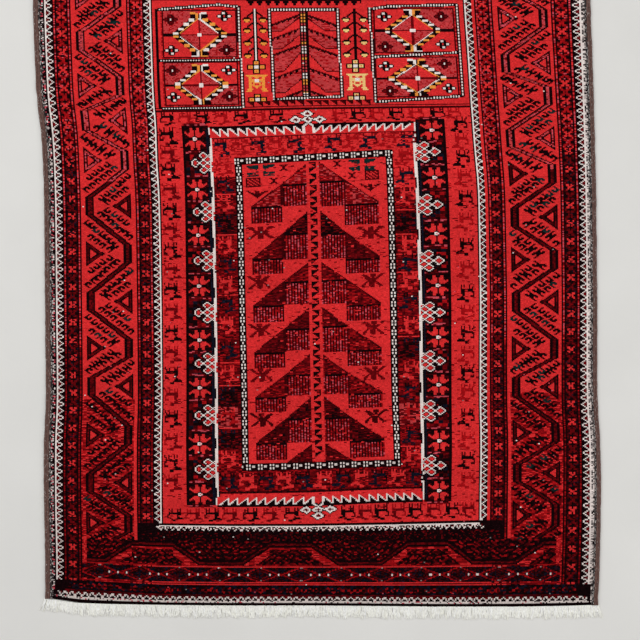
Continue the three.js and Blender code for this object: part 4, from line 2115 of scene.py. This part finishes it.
@dataclass(frozen=True)
class Yarn:
    """Spun hair or cotton in loose strands or wrapped cords."""

    name: str
    fibre_scale: float
    stretch: tuple[float, float, float]
    roughness: float
    fuzz: float
    relief: float

    def make(self) -> bpy.types.Material:
        """Build the material: the strand's own colour, streaked by its fibres.

        Returns:
            The material.
        """
        nodes = Nodes(self.name)
        dye = nodes.add("ShaderNodeAttribute", attribute_name="dye")
        fibre = nodes.noise(self.fibre_scale, 3.0, self.stretch)
        streak = nodes.span(fibre, 0.82, 1.14)
        nodes.join(nodes.shaded(dye.outputs["Color"], streak), nodes.shader.inputs["Base Color"])
        nodes.bump(fibre, self.relief, 0.5)
        nodes.join(nodes.span(fibre, self.roughness - 0.06, self.roughness + 0.06),
                   nodes.shader.inputs["Roughness"])
        nodes.set("Specular IOR Level", 0.25)
        nodes.set("Sheen Weight", self.fuzz)
        nodes.set("Sheen Roughness", 0.5)
        return nodes.material


@dataclass(frozen=True)
class PaintedFloor:
    """A pale painted floor, faintly uneven in tone."""

    colour: tuple[float, float, float] = (0.905, 0.900, 0.885)

    def make(self) -> bpy.types.Material:
        """Build the material: pale paint with a faint slow change of tone.

        Returns:
            The material.
        """
        nodes = Nodes("painted_floor")
        tone = nodes.add("ShaderNodeRGB")
        tone.outputs[0].default_value = (*linear(self.colour), 1.0)
        patch = nodes.noise(7.0, 6.0, (1.0, 1.0, 1.0))
        nodes.join(nodes.shaded(tone.outputs[0], nodes.span(patch, 0.975, 1.02)),
                   nodes.shader.inputs["Base Color"])
        nodes.bump(nodes.noise(160.0, 4.0, (1.0, 1.0, 1.0)), 0.0004, 0.25)
        nodes.set("Roughness", 0.62)
        nodes.set("Specular IOR Level", 0.3)
        return nodes.material


def grid_faces(rows: int, columns: int, wrap: bool = False) -> np.ndarray:
    """List the quads between neighbouring points of a grid.

    Args:
        rows: Rows of points.
        columns: Points in a row.
        wrap: Whether the last column meets the first.

    Returns:
        Quads by four corner numbers, facing up where rows run along +Y and columns along +X.
    """
    across = columns if wrap else columns - 1
    low = np.arange(rows - 1)[:, None] * columns
    left = np.arange(across)[None, :]
    right = (left + 1) % columns
    quads = np.stack([low + left, low + right, low + columns + right, low + columns + left], -1)
    return quads.reshape(-1, 4)


def make_mesh(name: str, points: np.ndarray, quads: np.ndarray, caps: list[np.ndarray],
              colours: np.ndarray) -> bpy.types.Object:
    """Make an object from points, quads and a few many-sided caps.

    Args:
        name: The object's name.
        points: Points by three coordinates.
        quads: Quads by four corner numbers.
        caps: Rings of corner numbers, each closed by one flat face.
        colours: Linear colour with alpha for each quad.

    Returns:
        The object, linked to the scene.
    """
    mesh = bpy.data.meshes.new(name)
    mesh.from_pydata(points, [], [*quads.tolist(), *[cap.tolist() for cap in caps]])
    dye = mesh.attributes.new("dye", "FLOAT_COLOR", "FACE")
    last = np.repeat(colours[-1:], len(caps), 0)
    dye.data.foreach_set("color", np.vstack([colours, last]).astype(np.float32).ravel())
    mesh.update()
    piece = bpy.data.objects.new(name, mesh)
    bpy.context.collection.objects.link(piece)
    return piece


def add_map(mesh: bpy.types.Mesh, name: str, places: np.ndarray) -> None:
    """Add a UV map from one place for each mesh point.

    Args:
        mesh: The mesh.
        name: The map's name.
        places: Points by two.
    """
    corners = np.zeros(len(mesh.loops), np.int32)
    mesh.loops.foreach_get("vertex_index", corners)
    layer = mesh.uv_layers.new(name=name)
    layer.data.foreach_set("uv", places[corners].astype(np.float32).ravel())


@dataclass
class Carpet:
    """The knotted carpet: sections of pile on one woven foundation."""

    grid: KnotGrid
    colours: np.ndarray
    dyes: np.ndarray
    sections: int = 5
    foundation: float = 0.0012
    jitter: float = 0.00012
    back_step: int = 2
    width: float = 0.895
    length: float = 1.166

    def build(self) -> list[bpy.types.Object]:
        """Returns:
            The pieces.
        """
        cuts = np.linspace(0, ROWS, self.sections + 1).astype(int)
        pile = [self.section(i, low, high) for i, (low, high) in enumerate(zip(cuts, cuts[1:]))]
        back = self.back()
        wool = Wool("wool_pile").make()
        woven = Wool("wool_back", fibre_scale=900.0, tuft=0.0004, dullness=0.8).make()
        for piece in (*pile, back):
            piece.data.materials.append(woven if piece is back else wool)
            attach(piece, "root")
            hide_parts("carpet")
        return [*pile, back]

    def section(self, number: int, low: int, high: int) -> bpy.types.Object:
        """Build one closed section of pile, a knot to a quad.

        The outermost ring of points hangs down to the foundation as the section's wall.

        Args:
            number: Its place, from the lower end.
            low: First row.
            high: Row past the last one.

        Returns:
            The section.
        """
        chance = np.random.default_rng(SEED + 2)
        rough = chance.normal(0, self.jitter, self.grid.z.shape)
        worn = np.array([DYE_LOTS[dye].worn for dye in Dye])[self.dyes]
        sunk = np.zeros(self.grid.z.shape)
        sunk[:-1, :-1] += worn
        sunk[1:, :-1] += worn
        sunk[:-1, 1:] += worn
        sunk[1:, 1:] += worn
        z = self.grid.z + rough - sunk / 4
        pick = slice(low, high + 1)
        x, y, z = (np.pad(part[pick], 1, "edge") for part in (self.grid.x, self.grid.y, z))
        z[(0, -1), :] = self.foundation
        z[:, (0, -1)] = self.foundation
        rows, columns = z.shape
        points = np.stack([x, y, z], -1).reshape(-1, 3)
        quads = grid_faces(rows, columns)
        shade = np.pad(self.colours[low:high], ((1, 1), (1, 1), (0, 0)), "edge")
        ring = rim(rows, columns)
        piece = make_mesh(f"pile_section_{number + 1}", points, quads, [ring[::-1]],
                          shade.reshape(-1, 4))
        v, u = np.mgrid[0:rows, 0:columns]
        add_map(piece.data, "OFBake", bake_places(u, v))
        add_map(piece.data, "Knots", np.stack([u - 1.0, v + low - 1.0], -1).reshape(-1, 2))
        smooth(piece.data)
        return piece

    def back(self) -> bpy.types.Object:
        """Build the woven foundation, a thin closed slab whose underside shows the pattern.

        Returns:
            The foundation.
        """
        take_rows = np.arange(0, ROWS + 1, self.back_step)
        take_columns = np.unique([*range(0, COLUMNS + 1, self.back_step), COLUMNS])
        x = self.grid.x[np.ix_(take_rows, take_columns)]
        y = self.grid.y[np.ix_(take_rows, take_columns)]
        x, y = np.pad(x, 1, "edge"), np.pad(y, 1, "edge")
        z = np.zeros(x.shape)
        z[(0, -1), :] = self.foundation
        z[:, (0, -1)] = self.foundation
        rows, columns = x.shape
        points = np.stack([x, y, z], -1).reshape(-1, 3)
        quads = grid_faces(rows, columns)[:, ::-1]
        shade = self.colours[take_rows[:-1]][:, take_columns[:-1]]
        shade = np.pad(shade, ((1, 1), (1, 1), (0, 0)), "edge")
        piece = make_mesh("carpet_back", points, quads, [rim(rows, columns)], shade.reshape(-1, 4))
        v, u = np.mgrid[0:rows, 0:columns]
        add_map(piece.data, "OFBake", bake_places(u, v))
        add_map(piece.data, "Knots", np.stack([u, v], -1).reshape(-1, 2) * float(self.back_step))
        return piece


def rim(rows: int, columns: int) -> np.ndarray:
    """List the outermost points of a grid, counterclockwise from above.

    Args:
        rows: Rows of points.
        columns: Points in a row.

    Returns:
        The corner numbers.
    """
    number = np.arange(rows * columns).reshape(rows, columns)
    return np.concatenate([number[0, :-1], number[:-1, -1], number[-1, :0:-1], number[:0:-1, 0]])


def bake_places(u: np.ndarray, v: np.ndarray) -> np.ndarray:
    """Spread a grid of points evenly over a UV map, with a narrow margin.

    Args:
        u: Column numbers.
        v: Row numbers.

    Returns:
        Points by two, from 0.01 to 0.99.
    """
    share = np.stack([u / u.max(), v / v.max()], -1)
    return (0.01 + 0.98 * share).reshape(-1, 2)


def smooth(mesh: bpy.types.Mesh) -> None:
    """Shade every quad of a mesh smooth, and its flat caps flat."""
    sides = np.zeros(len(mesh.polygons), np.int32)
    mesh.polygons.foreach_get("loop_total", sides)
    mesh.polygons.foreach_set("use_smooth", sides <= 4)
    mesh.update()


@dataclass
class Selvedge:
    """One long side: three cords overcast with goat hair."""

    node: str
    edge: np.ndarray
    side: int
    inset: float
    cords: int = 3
    crest: float = 0.0054
    valley: float = 0.0034
    ridge: float = 0.0003
    foot: float = 0.0002
    wrap: float = 0.0023
    twist: float = 0.8
    steps_per_wrap: int = 3
    steps_per_cord: int = 6
    brown: tuple[float, float, float] = (0.40, 0.285, 0.255)
    shadow: tuple[float, float, float] = (0.10, 0.085, 0.095)
    pale: tuple[float, float, float] = (0.80, 0.77, 0.75)
    mixed_width: float = 0.30
    dark_below: float = 0.70
    pale_above: float = 0.80
    fleck_above: float = 0.965

    def build(self) -> bpy.types.Object:
        """Build the wrapped cords as one closed strip.

        Across, the height is the valley plus a half sine for each cord. Along, each turn of
        hair adds a low ridge that leans, so that the turns look twisted.

        Returns:
            The selvedge.
        """
        chance = np.random.default_rng(SEED + 5 + self.side)
        length = self.edge[-1, 0] - self.edge[0, 0]
        steps = int(length / self.wrap) * self.steps_per_wrap
        along = np.linspace(self.edge[0, 0], self.edge[-1, 0], steps + 1)
        least = np.interp(along, self.edge[:, 0], self.edge[:, 1])
        most = np.interp(along, self.edge[:, 0], self.edge[:, 2])
        if self.side < 0:
            least = least + self.inset
        else:
            most = most - self.inset
        points_across = self.cords * self.steps_per_cord + 1
        share = np.linspace(0, 1, points_across)
        lobe = np.abs(np.sin(np.pi * share * self.cords))
        turn = along[:, None] / self.wrap + self.twist * share * self.cords
        ridge = self.ridge * np.abs(np.sin(np.pi * turn)) * (0.3 + lobe)
        z = self.valley + (self.crest - self.valley) * lobe**0.8 + ridge - self.ridge
        waver = np.repeat(chance.normal(0, 0.0003, steps // 12 + 2), 12)[: steps + 1]
        waver = np.convolve(np.pad(waver, 8, "edge"), np.ones(17) / 17, "valid")[:, None]
        x = least[:, None] + share * (most - least)[:, None]
        outer = share[::-1] if self.side < 0 else share
        x = x + waver * outer
        y = np.broadcast_to(along[:, None], x.shape)
        top = np.stack([x, y, z], -1)
        foot = top[:, ::-1][:, (0, -1)].copy()
        foot[..., 2] = self.foot
        ring = np.concatenate([top, foot], 1)
        rows, columns = ring.shape[:2]
        quads = grid_faces(rows, columns, wrap=True)
        number = np.arange(rows * columns).reshape(rows, columns)
        colours = self.shades(chance, rows - 1, columns, outer)
        piece = make_mesh(f"wrapped_{self.node}", ring.reshape(-1, 3), quads,
                          [number[0, ::-1], number[-1]], colours)
        smooth(piece.data)
        return piece

    def shades(self, chance: np.random.Generator, rows: int, columns: int,
               outer: np.ndarray) -> np.ndarray:
        """Colour each turn of hair: brown outside, black and white mixed beside the pile.

        Args:
            chance: Source of chance.
            rows: Quads along.
            columns: Quads round.
            outer: Share from the pile to the outer edge at each point across.

        Returns:
            Linear colour with alpha for each quad.
        """
        turn = np.arange(rows) // self.steps_per_wrap
        brown, shadow, pale = (linear(c) for c in (self.brown, self.shadow, self.pale))
        across = np.zeros(columns)
        across[: len(outer)] = outer
        lot = chance.random((turn.max() + 1, columns))
        lot = np.repeat(lot, self.steps_per_wrap, 0)[:rows]
        light = np.exp(chance.normal(0, 0.22, (turn.max() + 1, columns)))
        light = np.repeat(light, self.steps_per_wrap, 0)[:rows]
        tint = brown * light[..., None]
        inner = across[None, :] < self.mixed_width
        tint = np.where((inner & (lot < self.dark_below))[..., None], shadow * light[..., None], tint)
        tint = np.where((inner & (lot > self.pale_above))[..., None], pale, tint)
        fleck = ~inner & (lot > self.fleck_above)
        tint = np.where(fleck[..., None], (pale + brown) / 2, tint)
        alpha = np.ones(tint.shape[:2] + (1,))
        return np.concatenate([tint, alpha], -1).reshape(-1, 4)


@dataclass
class Fringe:
    """Loose cotton warp ends along one end of the rug."""

    node: str
    outline: Outline
    end: int
    strands: int = 1700
    locks: int = 150
    points: int = 7
    sides: int = 4
    length: float = 0.0185
    length_spread: float = 0.0028
    shortest: float = 0.012
    longest: float = 0.0225
    lock_lean: float = 0.0016
    strand_lean: float = 0.0011
    curl: float = 0.0009
    overlap: float = 0.0004
    ceiling: float = 0.0024
    radius: float = 0.00092
    root_height: float = 0.0022
    splay: float = 0.009
    ivory: tuple[float, float, float] = (0.975, 0.970, 0.955)

    def build(self) -> bpy.types.Object:
        """Build the strands as one mesh of tapered tubes.

        A strand leaves the end line straight out, leans with its lock, curls a little and comes
        down on the floor. Its corners lie on a small circle around that path.

        Returns:
            The fringe.
        """
        chance = np.random.default_rng(SEED + 11 + self.end)
        n, m = self.strands, self.points
        share = (np.arange(n) + chance.uniform(0.1, 0.9, n)) / n
        edge = self.outline.low_at(share) if self.end < 0 else self.outline.high_at(share)
        row = 0 if self.end < 0 else -1
        left, right = self.outline.left[row, 1], self.outline.right[row, 2]
        x0 = left + share * (right - left)
        lock = np.floor(share * self.locks).astype(int)
        lean = chance.normal(0, self.lock_lean, self.locks + 1)[lock]
        lean = lean + chance.normal(0, self.strand_lean, n)
        lean = lean + self.lie(share)
        reach = self.length + chance.normal(0, 1, self.locks + 1)[lock] * self.length_spread * 0.45
        reach = reach + chance.normal(0, self.length_spread * 0.45, n)
        reach = np.clip(reach, self.shortest, self.longest)
        t = np.linspace(0, 1, m)[None, :]
        curl = chance.normal(0, self.curl, n)[:, None] * np.sin(t * np.pi * 1.5)
        x = x0[:, None] + lean[:, None] * t**1.5 + curl
        reach = reach[:, None] + self.overlap
        y = edge[:, None] + self.end * (-self.overlap + reach * t)
        layer = chance.uniform(0.0, 1.0, n)[:, None]
        lift = self.root_height * (1 - t) ** 2 * 0.55 + 0.0011 * layer * (1 - 0.5 * t)
        radius = self.radius * (1 - 0.45 * t**2) * chance.uniform(0.85, 1.2, n)[:, None]
        z = np.minimum(radius + 0.0001 + lift, self.ceiling - radius)
        angle = np.arange(self.sides) * 2 * np.pi / self.sides + np.pi / 4
        ring_x = x[..., None] + radius[..., None] * np.cos(angle)
        ring_z = z[..., None] + radius[..., None] * np.sin(angle)
        ring_y = np.broadcast_to(y[..., None], ring_x.shape)
        points = np.stack([ring_x, ring_y, ring_z], -1)
        quads, colours = self.skin(chance)
        return make_mesh(f"warp_ends_{self.node}", points.reshape(-1, 3), quads, [], colours)

    def lie(self, share: np.ndarray) -> np.ndarray:
        """How far the tips lie to one side: fanned out at the corners, wandering between.

        Args:
            share: Share across the rug.

        Returns:
            Metres to the right.
        """
        corner = np.clip(1 - np.minimum(share, 1 - share) / 0.03, 0, 1) ** 2
        wander = 0.0022 * np.sin(share * 41) + 0.0014 * np.sin(share * 97 + 1)
        return np.sign(share - 0.5) * corner * self.splay + wander * (1 - corner)

    def skin(self, chance: np.random.Generator) -> tuple[np.ndarray, np.ndarray]:
        """List the faces of all the strands, with their colours.

        Args:
            chance: Source of chance.

        Returns:
            Quads by four corner numbers, and a linear colour with alpha for each quad.
        """
        one = grid_faces(self.points, self.sides, wrap=True)
        last = (self.points - 1) * self.sides
        caps = np.array([[3, 2, 1, 0], [last, last + 1, last + 2, last + 3]])
        one = np.vstack([one, caps])
        if self.end > 0:
            one = one[:, ::-1]
        start = np.arange(self.strands)[:, None, None] * self.points * self.sides
        quads = (one[None] + start).reshape(-1, 4)
        light = np.exp(chance.normal(0.0, 0.05, self.strands))
        tint = linear(self.ivory) * light[:, None]
        tint[:, 2] *= chance.uniform(0.93, 1.0, self.strands)
        tint = np.concatenate([np.clip(tint, 0, 0.97), np.ones((self.strands, 1))], 1)
        return quads, np.repeat(tint, len(one), 0)


class LightKind(Enum):
    """The studio's lamps, each with its part in the light."""

    KEY = "key"
    FILL = "fill"
    TOP = "top"


@dataclass(frozen=True)
class Lamp:
    """One soft lamp: place and size in metres, power in watts."""

    kind: LightKind
    place: tuple[float, float, float]
    size: float
    power: float


@dataclass
class Studio:
    """The floor, the lamps and the camera."""

    picture_centre: tuple[float, float] = (0.4633, 0.4739)
    picture_width: float = 1.0582
    camera_height: float = 3.2
    floor_size: float = 6.0
    floor_drop: float = 0.0001
    sensor: float = 36.0
    world_light: float = 0.36
    lamps: tuple[Lamp, ...] = (
        Lamp(LightKind.KEY, (-1.6, 1.8, 2.6), 2.0, 40.5),
        Lamp(LightKind.FILL, (2.2, -1.0, 2.4), 2.4, 24.0),
        Lamp(LightKind.TOP, (0.0, 0.0, 3.6), 3.0, 28.5),
    )

    def build(self) -> None:
        """Set out the floor, the lamps, the world and the camera."""
        self.floor()
        for lamp in self.lamps:
            self.lamp(lamp)
        world = bpy.data.worlds.new("studio")
        world.use_nodes = True
        world.node_tree.nodes["Background"].inputs["Color"].default_value = (1, 1, 1, 1)
        world.node_tree.nodes["Background"].inputs["Strength"].default_value = self.world_light
        bpy.context.scene.world = world
        bpy.context.scene.view_settings.view_transform = "Standard"
        self.camera()

    def floor(self) -> None:
        """Lay the floor just under the rug."""
        half = self.floor_size / 2
        mesh = bpy.data.meshes.new("floor")
        corners = ((-half, -half), (half, -half), (half, half), (-half, half))
        mesh.from_pydata([(x, y, -self.floor_drop) for x, y in corners], [], [(0, 1, 2, 3)])
        plane = bpy.data.objects.new("floor", mesh)
        mesh.materials.append(PaintedFloor().make())
        bpy.context.collection.objects.link(plane)

    def lamp(self, lamp: Lamp) -> None:
        """Hang one square lamp that faces the rug.

        Args:
            lamp: What it is.
        """
        data = bpy.data.lights.new(lamp.kind.value, "AREA")
        data.size = lamp.size
        data.energy = lamp.power
        light = bpy.data.objects.new(lamp.kind.value, data)
        light.location = lamp.place
        toward = -np.array(lamp.place)
        pitch = np.arctan2(np.hypot(toward[0], toward[1]), -toward[2])
        light.rotation_euler = (pitch, 0.0, np.arctan2(-toward[0], toward[1]))
        bpy.context.collection.objects.link(light)

    def camera(self) -> None:
        """Hang the camera straight above the place that is the picture's centre."""
        low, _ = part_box("carpet")
        data = bpy.data.cameras.new("camera")
        data.sensor_width = self.sensor
        data.lens = self.sensor * self.camera_height / self.picture_width
        camera = bpy.data.objects.new("camera", data)
        x, y = low[0] + self.picture_centre[0], low[1] + self.picture_centre[1]
        camera.location = (x, y, self.camera_height)
        bpy.context.collection.objects.link(camera)
        bpy.context.scene.camera = camera


def finish_piece(piece: bpy.types.Object, material: bpy.types.Material, node: str) -> None:
    """Dress a piece, put it on the rug and let it stand for its node.

    Args:
        piece: The piece.
        material: Its finish.
        node: The node that it stands for.
    """
    piece.data.materials.append(material)
    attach(piece, "root")
    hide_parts(node)


def report(piece: bpy.types.Object) -> None:
    """Report a piece and how many faces it has."""
    LOG.info("%s: %d faces", piece.name, len(piece.data.polygons))


def main() -> None:
    """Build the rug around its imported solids."""
    logging.basicConfig(level=logging.INFO, format="%(name)s: %(message)s")
    Studio().build()
    chart = knot_pattern()
    outline = Outline()
    grid = KnotGrid(outline)
    for piece in Carpet(grid, dye_colours(chart), chart.dyes).build():
        report(piece)
    hair = Yarn("goat_hair", 500.0, (1.0, 0.35, 1.0), 0.72, 0.2, 0.0004).make()
    for node, edge, side, inset in (("selvedge_left", outline.left, -1, 0.0012),
                                    ("selvedge_right", outline.right, 1, 0.0022)):
        piece = Selvedge(node, edge, side, inset).build()
        finish_piece(piece, hair, node)
        report(piece)
    cotton = Yarn("cotton_warp", 900.0, (1.0, 0.3, 1.0), 0.86, 0.25, 0.0002).make()
    for node, end in (("fringe_lower", -1), ("fringe_upper", 1)):
        piece = Fringe(node, outline, end).build()
        finish_piece(piece, cotton, node)
        report(piece)


if __name__ == "__main__":
    main()
